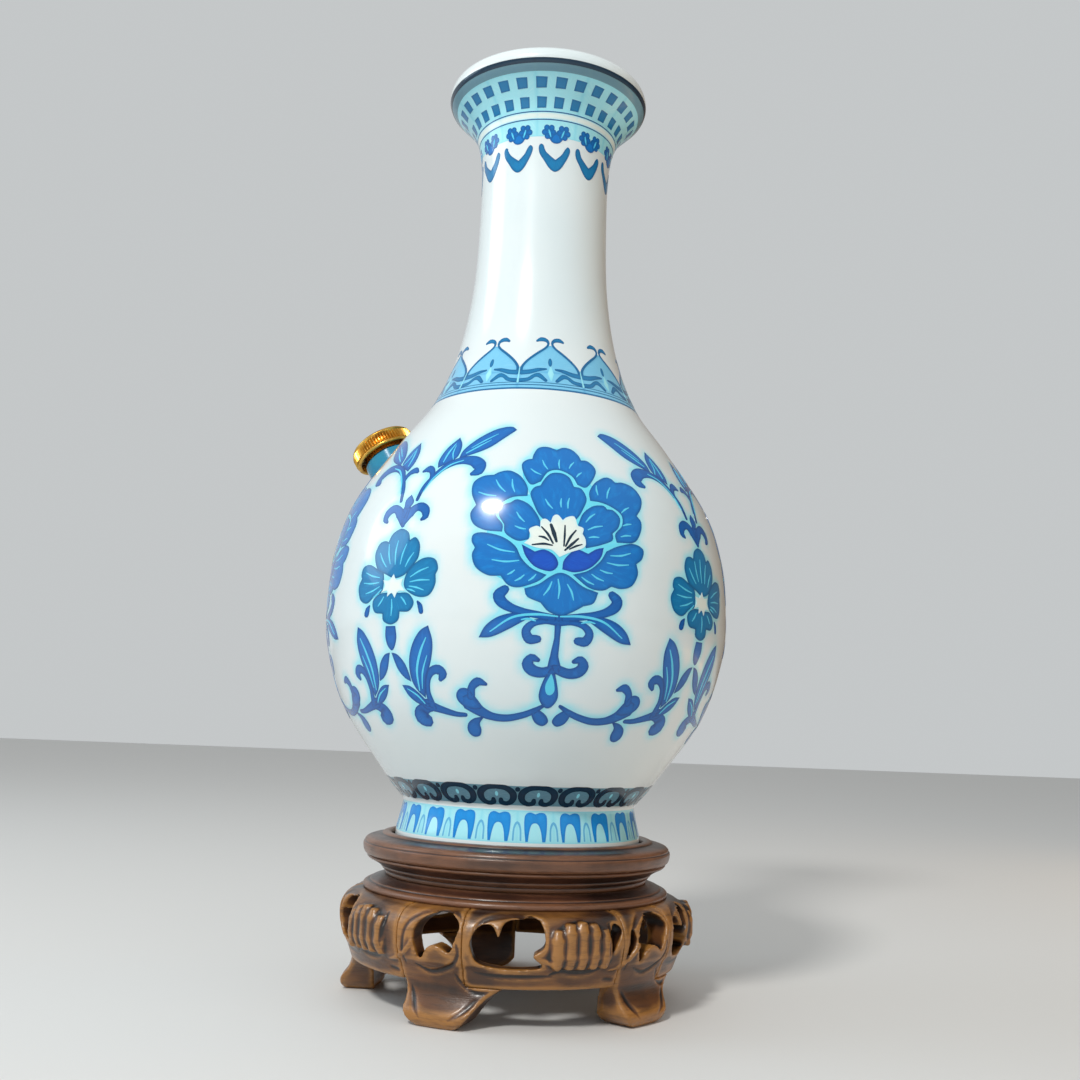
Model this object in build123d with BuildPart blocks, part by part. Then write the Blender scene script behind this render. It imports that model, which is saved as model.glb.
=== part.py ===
"""A porcelain bottle vase with a capped side spout, standing in a carved hardwood stand.

Frame: millimetres, +Z up, origin on the table under the middle of the stand. The vase's front
flower faces -Y. Angles round the axis are measured from -Y towards +X.
"""
from build123d import *
from math import cos, hypot, radians, sin
import os

# ---------------------------------------------------------------- driving dimensions
SEAT_Z = 45.3  # underside of the vase's foot above the table
VASE_HEIGHT = 252.5
BODY_RADIUS = 64.0
NECK_RADIUS = 21.5
LIP_RADIUS = 33.9
FOOT_RADIUS = 38.2
WALL = 3.8

SPOUT_ANGLE = -120.0
SPOUT_RISE = 57.0  # degrees of the spout's axis above the horizontal
SPOUT_FOOT = (48.9, 118.4)  # radius and height above the vase's foot where the axis meets the wall
SPOUT_RADIUS = 8.8
SPOUT_NECK_RADIUS = 6.6
SPOUT_BORE_RADIUS = 4.3
SPOUT_SHOULDER = 10.1  # along the axis, from the wall to the shoulder that carries the ferrule
PLUG_DEPTH = 9.0  # how far the spout's neck reaches in through the wall
FERRULE_HEIGHT = 3.4
FERRULE_RADIUS = 7.9
CAP_RADIUS = 11.4
CAP_BORE_RADIUS = 9.6
CAP_GAP = 0.5  # between the cap's skirt and the spout's shoulder
LINER_THICKNESS = 1.2
CAP_TOP = 1.5

PLATE_RADIUS = 48.0
PLATE_BOTTOM, PLATE_EDGE_TOP, PLATE_BEAD_TOP = 41.5, 46.3, 48.3
RECESS_RADIUS, RECESS_FLOOR = 39.4, 44.4
FELT_THICKNESS, FELT_INNER_RADIUS, FELT_GAP = 0.8, 30.0, 0.05
WAIST_RADIUS, WAIST_BOTTOM = 40.6, 35.4
RING_BORE = 29.0  # bore of the waist and the collar
CARVED_TOP = 31.5  # top of the legs and aprons, under the collar
CARVED_SHOULDER, CARVED_BELLY = 47.4, 54.0
RAIL_BOTTOM = 11.2  # underside of the aprons
APRON_THICKNESS = 6.0

LEG_COUNT = 5
LEG_STEP = 360 / LEG_COUNT
FIRST_LEG = -28.9
LEG_FROM, LEG_TO = -16.0, 6.0  # a leg's joints with its aprons, from the leg's own middle
APRON_MIDDLE = (LEG_TO + LEG_FROM + LEG_STEP) / 2
SHELL_MIDDLE = 41.6  # middle of the carved shell, from the leg before it
SHELL_RIBS, SHELL_RIB_STEP, SHELL_RIB_RADIUS = 5, 3.7, 2.3
RIB_CIRCLE = CARVED_BELLY - 0.8
TOE_REACH = 52.6

SCREW_COUNT, SCREW_CIRCLE = 4, 35.0
SCREW_SHANK, SCREW_HEAD, SCREW_LENGTH = 1.4, 2.8, 11.5
DOWEL_RADIUS, DOWEL_BOTTOM, DOWEL_TOP, DOWEL_CIRCLE = 1.4, 28.8, 33.0, 43.3
DOWEL_ANGLES = (-13.4, 8.0, SHELL_MIDDLE)  # in the leg, behind the scroll and behind the shell
SLIDING_FIT = 0.05

os.makedirs("parts", exist_ok=True)


def place(angle, radius, z=0.0):
    """A point at an angle from -Y towards +X."""
    return (radius * sin(radians(angle)), -radius * cos(radians(angle)), z)


def radial_plane(angle, z=0.0):
    """A plane whose x runs outwards and whose y runs up, at an angle round the axis."""
    out = place(angle, 1)
    return Plane(origin=(0, 0, z), x_dir=out, z_dir=(out[1], -out[0], 0))


def facing_plane(angle, radius, z=0.0):
    """A plane that faces outwards at an angle: x runs sideways and y runs up."""
    out = place(angle, 1)
    return Plane(origin=place(angle, radius, z), x_dir=(-out[1], out[0], 0), z_dir=out)


def inset(points, amount):
    """The same curve moved sideways by an amount, to the left of its direction."""
    moved = []
    for i, (r, z) in enumerate(points):
        before, after = points[max(i - 1, 0)], points[min(i + 1, len(points) - 1)]
        dr, dz = after[0] - before[0], after[1] - before[1]
        size = hypot(dr, dz)
        moved.append((r - amount * dz / size, z + amount * dr / size))
    return moved


def save(part, name):
    part.label = name
    export_step(part, f"parts/{name}.step")
    return part


# ---------------------------------------------------------------- the vase
# Outer wall from the pinch above the foot to the underside of the lip, as radius and height.
OUTER = [
    (36.2, 12.8), (44.6, 23.0), (56.9, 41.0), (63.2, 60.0), (BODY_RADIUS, 75.0), (62.4, 90.0),
    (57.0, 105.6), (44.6, 124.6), (33.6, 140.0), (26.6, 158.0), (22.6, 181.0), (NECK_RADIUS, 208.0),
    (21.9, 226.0), (24.2, 236.0), (28.6, 242.2), (32.4, 245.8),
]  # fmt: skip
FOOT_PINCH = OUTER[0]
LIP_START = OUTER[-1]
FOOT_WIDTH, FOOT_RECESS = 5.5, 6.5
FLOOR_TOP = 12.0


def outer_wall():
    """The curve from the foot's pinch to the lip."""
    return Spline(*OUTER, tangents=[(0.55, 1), (1, 0.8)])


def lip(inner_end):
    """The rolled lip, from the outer wall's top over to the inner wall."""
    outside = ThreePointArc(LIP_START, (LIP_RADIUS, 248.6), (33.0, VASE_HEIGHT - 0.9))
    top = ThreePointArc(outside @ 1, (31.8, VASE_HEIGHT), (30.6, VASE_HEIGHT - 1.0))
    Line(top @ 1, inner_end)


with BuildPart() as vase_body:
    with BuildSketch(radial_plane(90, SEAT_Z)):
        with BuildLine():
            INNER = inset(OUTER[2:-1], WALL)
            wall = outer_wall()
            inner_wall = Spline((27.0, FLOOR_TOP), (41.0, 21.6), *INNER)
            lip(inner_wall @ 1)
            Line(inner_wall @ 0, (0, FLOOR_TOP))
            Line((0, FLOOR_TOP), (0, FOOT_RECESS))
            Polyline(
                (0, FOOT_RECESS), (FOOT_RADIUS - FOOT_WIDTH - 1.2, FOOT_RECESS),
                (FOOT_RADIUS - FOOT_WIDTH, FOOT_RECESS - 1.5), (FOOT_RADIUS - FOOT_WIDTH + 0.6, 0),
                (FOOT_RADIUS - 0.7, 0), (FOOT_RADIUS, 0.8), (FOOT_RADIUS, 3.0),
            )  # fmt: skip
            Spline((FOOT_RADIUS, 3.0), (36.6, 9.6), FOOT_PINCH, tangents=[(0, 1), (-0.12, 1)])
        make_face()
    revolve(axis=Axis.Z)

# ---------------------------------------------------------------- the side spout and its screw cap
spout_out = place(SPOUT_ANGLE, 1)
spout_axis = Vector(
    cos(radians(SPOUT_RISE)) * spout_out[0], cos(radians(SPOUT_RISE)) * spout_out[1], sin(radians(SPOUT_RISE))
)
spout_foot = Vector(*place(SPOUT_ANGLE, SPOUT_FOOT[0], SEAT_Z + SPOUT_FOOT[1]))
spout_side = Vector(-spout_out[1], spout_out[0], 0)


def along_spout(distance):
    """A plane across the spout's axis, so far out from the wall."""
    return Plane(origin=spout_foot + spout_axis * distance, x_dir=spout_side, z_dir=spout_axis)


def section_on_spout():
    """A plane through the spout's axis: x runs across it and y along it."""
    return Plane(origin=spout_foot, x_dir=spout_side, z_dir=spout_side.cross(spout_axis))


spout_line = Axis(spout_foot, spout_axis)
SPOUT_END = SPOUT_SHOULDER + FERRULE_HEIGHT
with vase_body:
    with BuildSketch(along_spout(-3 * PLUG_DEPTH)):
        Circle(SPOUT_NECK_RADIUS + 0.1)
    extrude(amount=4 * PLUG_DEPTH, mode=Mode.SUBTRACT)
save(vase_body.part, "vase_body")

with BuildPart() as side_spout:
    with BuildSketch(section_on_spout()):
        with BuildLine():
            Polyline(
                (0, -3 * PLUG_DEPTH), (SPOUT_RADIUS + 0.9, -3 * PLUG_DEPTH), (SPOUT_RADIUS + 0.9, 1.0),
                (SPOUT_RADIUS, 4.2), (SPOUT_RADIUS, SPOUT_SHOULDER - 0.8),
                (SPOUT_RADIUS - 0.8, SPOUT_SHOULDER), (0, SPOUT_SHOULDER), close=True,
            )  # fmt: skip
        make_face()
    revolve(axis=spout_line)
    with BuildSketch(radial_plane(90, SEAT_Z)):  # the saddle that fits the vase's outside
        with BuildLine():
            outer_wall()
            Polyline(LIP_START, (0, LIP_START[1]), (0, FOOT_PINCH[1]), FOOT_PINCH)
        make_face()
    revolve(axis=Axis.Z, mode=Mode.SUBTRACT)
    with BuildSketch(along_spout(-PLUG_DEPTH)):
        Circle(SPOUT_NECK_RADIUS)
    extrude(amount=PLUG_DEPTH + SPOUT_END)
    with BuildSketch(along_spout(-2 * PLUG_DEPTH)):
        Circle(SPOUT_BORE_RADIUS)
    extrude(amount=4 * PLUG_DEPTH, mode=Mode.SUBTRACT)
save(side_spout.part, "side_spout")

with BuildPart() as spout_ferrule:
    with BuildSketch(along_spout(SPOUT_SHOULDER)):
        Circle(FERRULE_RADIUS)
        Circle(SPOUT_NECK_RADIUS, mode=Mode.SUBTRACT)
    extrude(amount=FERRULE_HEIGHT - 0.2)
save(spout_ferrule.part, "spout_ferrule")

CAP_INSIDE = SPOUT_END + LINER_THICKNESS + 2 * FELT_GAP
CAP_END = CAP_INSIDE + CAP_TOP
with BuildPart() as spout_cap:
    with BuildSketch(section_on_spout()):
        with BuildLine():
            skirt = Polyline(
                (CAP_BORE_RADIUS, CAP_INSIDE), (CAP_BORE_RADIUS, SPOUT_SHOULDER + CAP_GAP),
                (CAP_RADIUS - 0.5, SPOUT_SHOULDER + CAP_GAP), (CAP_RADIUS, SPOUT_SHOULDER + CAP_GAP + 0.5),
                (CAP_RADIUS, CAP_END - 1.2), (CAP_RADIUS - 0.9, CAP_END - 0.3),
            )  # fmt: skip
            dome = TangentArc((0, CAP_END + 0.5), skirt @ 1, tangent=(1, 0))
            Polyline(dome @ 0, (0, CAP_INSIDE), skirt @ 0)
        make_face()
    revolve(axis=spout_line)
save(spout_cap.part, "spout_cap")

with BuildPart() as cap_liner:
    with BuildSketch(along_spout(SPOUT_END + FELT_GAP)):
        Circle(CAP_BORE_RADIUS - 0.4)
    extrude(amount=LINER_THICKNESS)
save(cap_liner.part, "cap_liner")

# ---------------------------------------------------------------- the stand: turned pieces
with BuildPart() as stand_top:
    with BuildSketch(radial_plane(90)):
        with BuildLine():
            edge = Polyline(
                (0, PLATE_BOTTOM), (PLATE_RADIUS - 1.4, PLATE_BOTTOM),
                (PLATE_RADIUS - 0.6, PLATE_BOTTOM + 0.8),
            )  # fmt: skip
            band = ThreePointArc(
                edge @ 1, (PLATE_RADIUS, (PLATE_BOTTOM + PLATE_EDGE_TOP) / 2),
                (PLATE_RADIUS - 0.5, PLATE_EDGE_TOP)
            )
            slope = ThreePointArc(
                band @ 1, (PLATE_RADIUS - 3.6, PLATE_EDGE_TOP + 1.1),
                (RECESS_RADIUS + 2.6, PLATE_EDGE_TOP + 1.3)
            )
            bead = ThreePointArc(slope @ 1, (RECESS_RADIUS + 1.3, PLATE_BEAD_TOP),
                (RECESS_RADIUS, PLATE_BEAD_TOP - 0.7))
            Polyline(bead @ 1, (RECESS_RADIUS, RECESS_FLOOR), (0, RECESS_FLOOR), (0, PLATE_BOTTOM))
        make_face()
    revolve(axis=Axis.Z)

with BuildPart() as stand_waist:
    with BuildSketch(radial_plane(90)):
        with BuildLine():
            ledge = ThreePointArc(
                (PLATE_RADIUS - 2.0, PLATE_BOTTOM), (PLATE_RADIUS - 1.3, PLATE_BOTTOM - 0.6),
                (PLATE_RADIUS - 2.1, PLATE_BOTTOM - 1.2),
            )  # fmt: skip
            hollow = Spline(
                ledge @ 1, (WAIST_RADIUS + 1.5, 38.0), (WAIST_RADIUS, WAIST_BOTTOM),
                tangents=[(-1, -0.25), (0, -1)]
            )
            Polyline(hollow @ 1, (RING_BORE, WAIST_BOTTOM), (RING_BORE, PLATE_BOTTOM), ledge @ 0)
        make_face()
    revolve(axis=Axis.Z)

with BuildPart() as stand_collar:
    with BuildSketch(radial_plane(90)):
        with BuildLine():
            ogee = Spline(
                (WAIST_RADIUS + 0.6, WAIST_BOTTOM), (43.6, 34.4), (CARVED_SHOULDER, 32.4),
                tangents=[(0.6, -0.2), (0.4, -1)]
            )
            Polyline(
                ogee @ 1, (CARVED_SHOULDER - 0.4, CARVED_TOP), (RING_BORE, CARVED_TOP),
                (RING_BORE, WAIST_BOTTOM), ogee @ 0
            )
        make_face()
    revolve(axis=Axis.Z)

# ---------------------------------------------------------------- the stand: carved legs and aprons
def carved_belly(bottom_radius):
    """The carved ring's outer curve, from the shoulder down to the rail's underside."""
    return Spline(
        (CARVED_SHOULDER, CARVED_TOP), (51.8, 29.6), (CARVED_BELLY, 24.5), (52.6, 17.6),
        (bottom_radius, RAIL_BOTTOM),
        tangents=[(1, -0.15), (-0.35, -1)],
    )  # fmt: skip


def carved_back(bottom_radius):
    """The carved ring's inner curve, from the rail's underside up."""
    return Spline((bottom_radius, RAIL_BOTTOM), (47.0, 18.5), (46.8, 25.0),
        (DOWEL_CIRCLE - 2.0, CARVED_TOP - 3))


# Openings, as sideways distance and height on a plane that faces outwards.
HOLLOW = [(-9.2, 23.0), (-8.2, 27.2), (-4.0, 29.9), (2.0, 29.9), (4.4, 27.6), (3.2, 23.0), (2.0, 20.4),
          (-1.6, 21.9), (-5.4, 20.4), (-7.0, 18.0)]  # fmt: skip
GAP_MIDDLE = 19.5  # middle of the wide gap beside the scroll, from the leg before it
GAP = [(-10.0, 22.0), (-9.4, 26.0), (-6.8, 28.3), (-3.9, 27.6), (-2.6, 25.2), (-1.4, 28.4), (2.0, 29.7),
       (8.6, 29.4), (10.0, 26.0), (9.4, 22.4), (7.0, 20.6), (9.4, 18.4), (3.0, 16.9), (-5.0, 17.4),
       (-8.8, 19.0)]  # fmt: skip
SLIT_ANGLE = -18.6  # the leaf slit beside the shell, from the leg after it
SLIT = [(-1.6, 27.4), (0.2, 28.6), (1.5, 27.8), (0.7, 24.2), (-1.5, 20.8), (-1.7, 23.6)]
LEAF_SLIT = [(-12.6, 22.4), (-10.6, 26.6), (-9.9, 25.0), (-11.4, 20.6), (-12.8, 18.6)]


def opening(angle, outline):
    """The bar that cuts an opening with a smooth outline, facing out at an angle."""
    with BuildPart() as bar:
        with BuildSketch(facing_plane(angle, APRON_THICKNESS * 6)):
            with BuildLine():
                Spline(*outline, periodic=True)
            make_face()
        extrude(amount=APRON_THICKNESS * 5)
    return bar.part


for number in range(LEG_COUNT):
    middle = FIRST_LEG + number * LEG_STEP
    with BuildPart() as leg:
        with BuildSketch(radial_plane(middle + LEG_FROM)):
            with BuildLine():
                front = carved_belly(49.6)
                toe = Spline(
                    front @ 1, (50.6, 6.5), (TOE_REACH, 3.2), (TOE_REACH - 1.6, 0),
                    tangents=[(-0.35, -1), (-0.8, -0.5)]
                )
                Line(toe @ 1, (42.0, 0))
                heel = Spline((42.0, 0), (42.4, 6.0), (43.6, RAIL_BOTTOM), tangents=[(0, 1), (0.35, 1)])
                back = carved_back(43.6)
                Polyline(back @ 1, (DOWEL_CIRCLE - 2.0, CARVED_TOP), front @ 0)
            make_face()
        revolve(axis=Axis.Z, revolution_arc=2 * abs(LEG_FROM) + 2)
        with BuildSketch(facing_plane(middle, 0)):
            with BuildLine():
                foot = Spline(
                    (-13.4, RAIL_BOTTOM + 1), (-12.3, 8.0), (-12.0, 3.6), (-8.6, 0.4), (-5.0, -0.2),
                    tangents=[(0.3, -1), (1, 0)]
                )
                instep = Spline(
                    (1.5, -0.2), (5.6, 1.6), (9.6, 6.6), (15.4, RAIL_BOTTOM), tangents=[(1, 0), (1, 0.55)]
                )
                Line(foot @ 1, instep @ 0)
                Polyline(
                    instep @ 1, (15.4, CARVED_TOP + 1), (-20.0, CARVED_TOP + 1),
                    (-20.0, RAIL_BOTTOM + 1), foot @ 0
                )
            make_face()
        extrude(amount=PLATE_RADIUS * 2, mode=Mode.INTERSECT)
        with BuildSketch(radial_plane(middle + LEG_TO)):
            with Locations((PLATE_RADIUS, (RAIL_BOTTOM + PLATE_BOTTOM) / 2)):
                Rectangle(PLATE_RADIUS, PLATE_BOTTOM - RAIL_BOTTOM)
        revolve(axis=Axis.Z, revolution_arc=abs(LEG_FROM), mode=Mode.SUBTRACT)
        add(opening(middle, HOLLOW), mode=Mode.SUBTRACT)
        if number > 0:
            add(opening(middle, LEAF_SLIT), mode=Mode.SUBTRACT)
        with Locations(place(middle + DOWEL_ANGLES[0], DOWEL_CIRCLE, DOWEL_BOTTOM)):
            Cylinder(
                DOWEL_RADIUS + SLIDING_FIT, CARVED_TOP - DOWEL_BOTTOM + 1,
                align=(Align.CENTER, Align.CENTER, Align.MIN), mode=Mode.SUBTRACT,
            )  # fmt: skip
    save(leg.part, f"leg_{number + 1}")

    with BuildPart() as apron:
        with BuildSketch(radial_plane(middle + LEG_TO)):
            with BuildLine():
                front = carved_belly(49.6)
                back = carved_back(43.6)
                Line(front @ 1, back @ 0)
                Polyline(back @ 1, (DOWEL_CIRCLE - 2.0, CARVED_TOP), front @ 0)
            make_face()
        revolve(axis=Axis.Z, revolution_arc=LEG_STEP + LEG_FROM - LEG_TO)
        for rib in range(SHELL_RIBS):  # the shell's upright ribs
            rib_angle = middle + SHELL_MIDDLE + (rib - (SHELL_RIBS - 1) / 2) * SHELL_RIB_STEP
            rib_top = 29.8 - 0.55 * (rib - (SHELL_RIBS - 1) / 2) ** 2
            with BuildSketch(radial_plane(rib_angle)):
                Polygon(
                    (RIB_CIRCLE, 17.2), (RIB_CIRCLE + 1.0, 17.2), (RIB_CIRCLE + SHELL_RIB_RADIUS, 20.6),
                    (RIB_CIRCLE + SHELL_RIB_RADIUS, rib_top - 2.4), (RIB_CIRCLE + 1.2, rib_top),
                    (RIB_CIRCLE, rib_top),
                    align=None,
                )  # fmt: skip
            revolve(axis=Axis(place(rib_angle, RIB_CIRCLE), (0, 0, 1)))
        add(opening(middle + GAP_MIDDLE, GAP), mode=Mode.SUBTRACT)
        if number < LEG_COUNT - 1:
            add(opening(middle + LEG_STEP + SLIT_ANGLE, SLIT), mode=Mode.SUBTRACT)
        for dowel_angle in DOWEL_ANGLES[1:]:
            with Locations(place(middle + dowel_angle, DOWEL_CIRCLE, DOWEL_BOTTOM)):
                Cylinder(
                    DOWEL_RADIUS + SLIDING_FIT, CARVED_TOP - DOWEL_BOTTOM + 1,
                    align=(Align.CENTER, Align.CENTER, Align.MIN), mode=Mode.SUBTRACT,
                )  # fmt: skip
    save(apron.part, f"apron_{number + 1}")

# ---------------------------------------------------------------- fixings and felt
dowel_places = [
    place(FIRST_LEG + number * LEG_STEP + angle, DOWEL_CIRCLE, DOWEL_BOTTOM)
    for number in range(LEG_COUNT)
    for angle in DOWEL_ANGLES
]
with BuildPart() as dowels:
    with Locations(*dowel_places):
        Cylinder(DOWEL_RADIUS, DOWEL_TOP - DOWEL_BOTTOM, align=(Align.CENTER, Align.CENTER, Align.MIN))
save(dowels.part, "dowels")

with stand_collar:
    with Locations(*[(x, y, DOWEL_BOTTOM) for x, y, _ in dowel_places]):
        Cylinder(
            DOWEL_RADIUS + SLIDING_FIT, DOWEL_TOP - DOWEL_BOTTOM,
            align=(Align.CENTER, Align.CENTER, Align.MIN), mode=Mode.SUBTRACT,
        )  # fmt: skip


def screw_shape(extra):
    """A countersunk screw standing head down under the collar, grown by an amount."""
    with BuildPart() as shape:
        with BuildSketch(Plane.XZ):
            Polygon(
                (0, 0), (SCREW_HEAD + extra, 0), (SCREW_SHANK + extra, SCREW_HEAD - SCREW_SHANK),
                (SCREW_SHANK + extra, SCREW_LENGTH - 1.6), (0.3, SCREW_LENGTH + extra),
                (0, SCREW_LENGTH + extra),
                align=None,
            )  # fmt: skip
        revolve(axis=Axis.Z)
    return shape.part


screw_angles = [25.0 + number * 360 / SCREW_COUNT for number in range(SCREW_COUNT)]
for ring in (stand_collar, stand_waist, stand_top):
    with ring:
        with Locations(*[place(angle, SCREW_CIRCLE, CARVED_TOP) for angle in screw_angles]):
            add(screw_shape(SLIDING_FIT), mode=Mode.SUBTRACT)
save(stand_collar.part, "stand_collar")
save(stand_waist.part, "stand_waist")
save(stand_top.part, "stand_top")

with BuildPart() as stand_screws:
    with Locations(*[place(angle, SCREW_CIRCLE, CARVED_TOP) for angle in screw_angles]):
        add(screw_shape(0))
        Box(3.6, 0.7, 1.6, mode=Mode.SUBTRACT)
save(stand_screws.part, "stand_screws")

with BuildPart() as seat_felt:
    with BuildSketch(Plane.XY.offset(RECESS_FLOOR + FELT_GAP)):
        Circle(RECESS_RADIUS - 0.5)
        Circle(FELT_INNER_RADIUS, mode=Mode.SUBTRACT)
    extrude(amount=FELT_THICKNESS)
save(seat_felt.part, "seat_felt")
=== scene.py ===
# %% [markdown]
# # A porcelain bottle vase on a carved stand
#
# The real object is a slip-cast and glazed bottle vase with blue painting under its glaze. A small spout
# with a screw cap leans out of its back, and the whole vase stands loose in a carved hardwood stand.
# The fixed frame comes from the CAD model: it says where each piece is and how it moves. This script
# only makes the looks, in metres, in the same frame.

import math

import bmesh
import bpy
import numpy as np
from mathutils import Matrix, Vector
from mathutils.geometry import delaunay_2d_cdt


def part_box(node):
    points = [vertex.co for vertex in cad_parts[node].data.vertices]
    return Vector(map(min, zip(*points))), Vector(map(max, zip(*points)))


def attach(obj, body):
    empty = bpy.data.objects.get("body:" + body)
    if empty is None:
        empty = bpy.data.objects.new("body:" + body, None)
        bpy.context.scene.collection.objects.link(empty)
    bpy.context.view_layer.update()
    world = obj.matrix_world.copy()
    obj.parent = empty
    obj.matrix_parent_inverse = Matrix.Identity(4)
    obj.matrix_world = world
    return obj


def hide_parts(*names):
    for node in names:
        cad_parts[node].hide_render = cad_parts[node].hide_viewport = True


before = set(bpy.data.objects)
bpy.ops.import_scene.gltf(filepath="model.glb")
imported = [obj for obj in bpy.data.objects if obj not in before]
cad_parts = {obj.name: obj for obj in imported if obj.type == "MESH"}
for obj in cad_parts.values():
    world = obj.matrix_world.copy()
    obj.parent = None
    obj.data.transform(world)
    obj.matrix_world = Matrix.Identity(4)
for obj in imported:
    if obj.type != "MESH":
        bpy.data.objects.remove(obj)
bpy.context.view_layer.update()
MM = 0.001

# %% [markdown]
# ## The lathe line of the vase
#
# A thrown or cast vase is round, so one line from foot to lip describes it. The line is kept as a table
# of radius and height at equal steps of its own length, because the painting needs to know how far up the
# wall a point is, and not how high it is above the table.


# %% Smooth lines through given points
def smooth(points, step=0.6, closed=False):
    """A smooth line through points, in steps of about one length. A third value marks a corner."""
    flat = [np.array(p[:2], float) for p in points]
    corners = [i for i, p in enumerate(points) if len(p) > 2]
    if closed:
        first = corners[0] if corners else 0
        flat = flat[first:] + flat[: first + 1]
        corners = [c - first for c in corners] + [len(flat) - 1] if corners else []
    runs = sorted({0, len(flat) - 1, *corners})
    line = []
    for a, b in zip(runs, runs[1:]):
        run = flat[a : b + 1]
        ring = closed and not corners
        before = run[-2] if ring else 2 * run[0] - run[1]
        after = run[1] if ring else 2 * run[-1] - run[-2]
        p = [before, *run, after]
        for i in range(1, len(p) - 2):
            p0, p1, p2, p3 = p[i - 1 : i + 3]
            count = max(2, int(np.ceil(np.linalg.norm(p2 - p1) / step)))
            for t in np.linspace(0, 1, count, endpoint=False):
                line.append(
                    0.5 * (
                        2 * p1 + (p2 - p0) * t + (2 * p0 - 5 * p1 + 4 * p2 - p3) * t**2
                        + (3 * p1 - p0 - 3 * p2 + p3) * t**3
                    )
                )
    if not closed:
        line.append(flat[-1])
    return np.array(line)


# %% The wall of the vase, from foot to lip
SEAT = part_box("vase_body")[0][2] / MM
OUTSIDE = [
    (36.2, 12.8), (44.6, 23.0), (56.9, 41.0), (63.03, 60.0), (63.80, 75.0), (62.22, 90.0), (57.0, 105.6),
    (44.6, 124.6), (33.6, 140.0), (26.6, 158.0), (22.6, 181.0), (21.5, 208.0), (21.9, 226.0), (24.2, 236.0),
    (28.6, 242.2), (32.4, 245.8),
]
FOOT = [(32.7, 5.0), (33.3, 0.0, 1), (37.5, 0.0), (38.2, 0.8), (38.3, 3.0), (36.9, 9.0), (36.2, 12.8)]
LIP = [(32.4, 245.8), (33.5, 247.2), (33.85, 249.0), (33.2, 251.3), (31.8, 252.45), (30.6, 251.5)]
INSIDE = [
    (30.6, 251.5), (29.2, 248.2), (25.7, 244.2), (20.7, 237.5), (18.2, 227.0), (17.7, 208.0), (18.8, 181.0),
    (22.8, 158.5), (29.7, 142.0), (41.0, 126.0), (53.4, 104.0), (58.7, 89.0), (60.2, 75.0), (59.4, 60.6),
    (53.3, 42.5), (41.0, 21.6), (27.0, 12.5), (0.0, 12.0),
]
UNDER = [(0.0, 6.5), (31.0, 6.5, 1), (32.4, 6.0), (32.7, 5.0)]
foot_line = smooth(FOOT, 1.0)
wall_line = smooth(OUTSIDE, 0.5)
full_line = np.vstack([foot_line[:-1], wall_line, smooth(LIP)[1:]])
full_length = np.concatenate([[0], np.cumsum(np.linalg.norm(np.diff(full_line, axis=0), axis=1))])
PINCH_LENGTH = np.interp(len(foot_line) - 1, range(len(full_line)), full_length)


def on_wall(up):
    """Radius, height and outward slope at a distance up the wall from the pinch over the foot."""
    at = np.asarray(up, float) + PINCH_LENGTH
    radius = np.interp(at, full_length, full_line[:, 0])
    height = np.interp(at, full_length, full_line[:, 1]) + SEAT
    reach = 1.5
    low, high = at - reach, at + reach
    dr = np.interp(high, full_length, full_line[:, 0]) - np.interp(low, full_length, full_line[:, 0])
    dz = np.interp(high, full_length, full_line[:, 1]) - np.interp(low, full_length, full_line[:, 1])
    size = np.hypot(dr, dz)
    return radius, height, dz / size, -dr / size


def wall_at(height):
    """Distance up the wall from the pinch, for a height above the vase's foot."""
    first = int(np.argmax(full_line[:, 0] > 38.1))  # where the outer side of the foot begins
    return np.interp(height, full_line[first:, 1], full_length[first:]) - PINCH_LENGTH


print("wall length", round(full_length[-1] - PINCH_LENGTH, 1), "mm from pinch to lip")

# %% [markdown]
# ## Turning with Geometry Nodes
#
# Round pieces follow a rule: a line turned about the axis. A node tree takes the line as a chain of
# vertices, lays a grid of rows and segments, and puts each grid point at its row's radius and its
# segment's angle. Turned from a tree, the piece can be made finer by changing one number. The result is
# turned to a plain mesh, because the export drops live instances and trees cost time at each render.


# %% Small helpers for node trees
def new_tree(name, inputs):
    """A geometry node tree with a geometry input, named inputs and a geometry output."""
    tree = bpy.data.node_groups.new(name, "GeometryNodeTree")
    tree.interface.new_socket("Geometry", in_out="INPUT", socket_type="NodeSocketGeometry")
    for label, kind, value in inputs:
        socket = tree.interface.new_socket(label, in_out="INPUT", socket_type=kind)
        if value is not None:
            socket.default_value = value
    tree.interface.new_socket("Geometry", in_out="OUTPUT", socket_type="NodeSocketGeometry")
    return tree, tree.nodes.new("NodeGroupInput"), tree.nodes.new("NodeGroupOutput")


def add_node(tree, kind, settings=None, **sockets):
    """A node with its settings, its plain values set and its links made."""
    made = tree.nodes.new(kind)
    for key, value in (settings or {}).items():
        setattr(made, key, value)
    for key, value in sockets.items():
        target = made.inputs[int(key[1:])] if key[0] == "_" else made.inputs[key.replace("_", " ")]
        if isinstance(value, bpy.types.NodeSocket):
            tree.links.new(value, target)
        else:
            target.default_value = value
    return made


def math_node(tree, operation, a, b=0.0):
    return add_node(tree, "ShaderNodeMath", {"operation": operation}, _0=a, _1=b).outputs[0]


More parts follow.
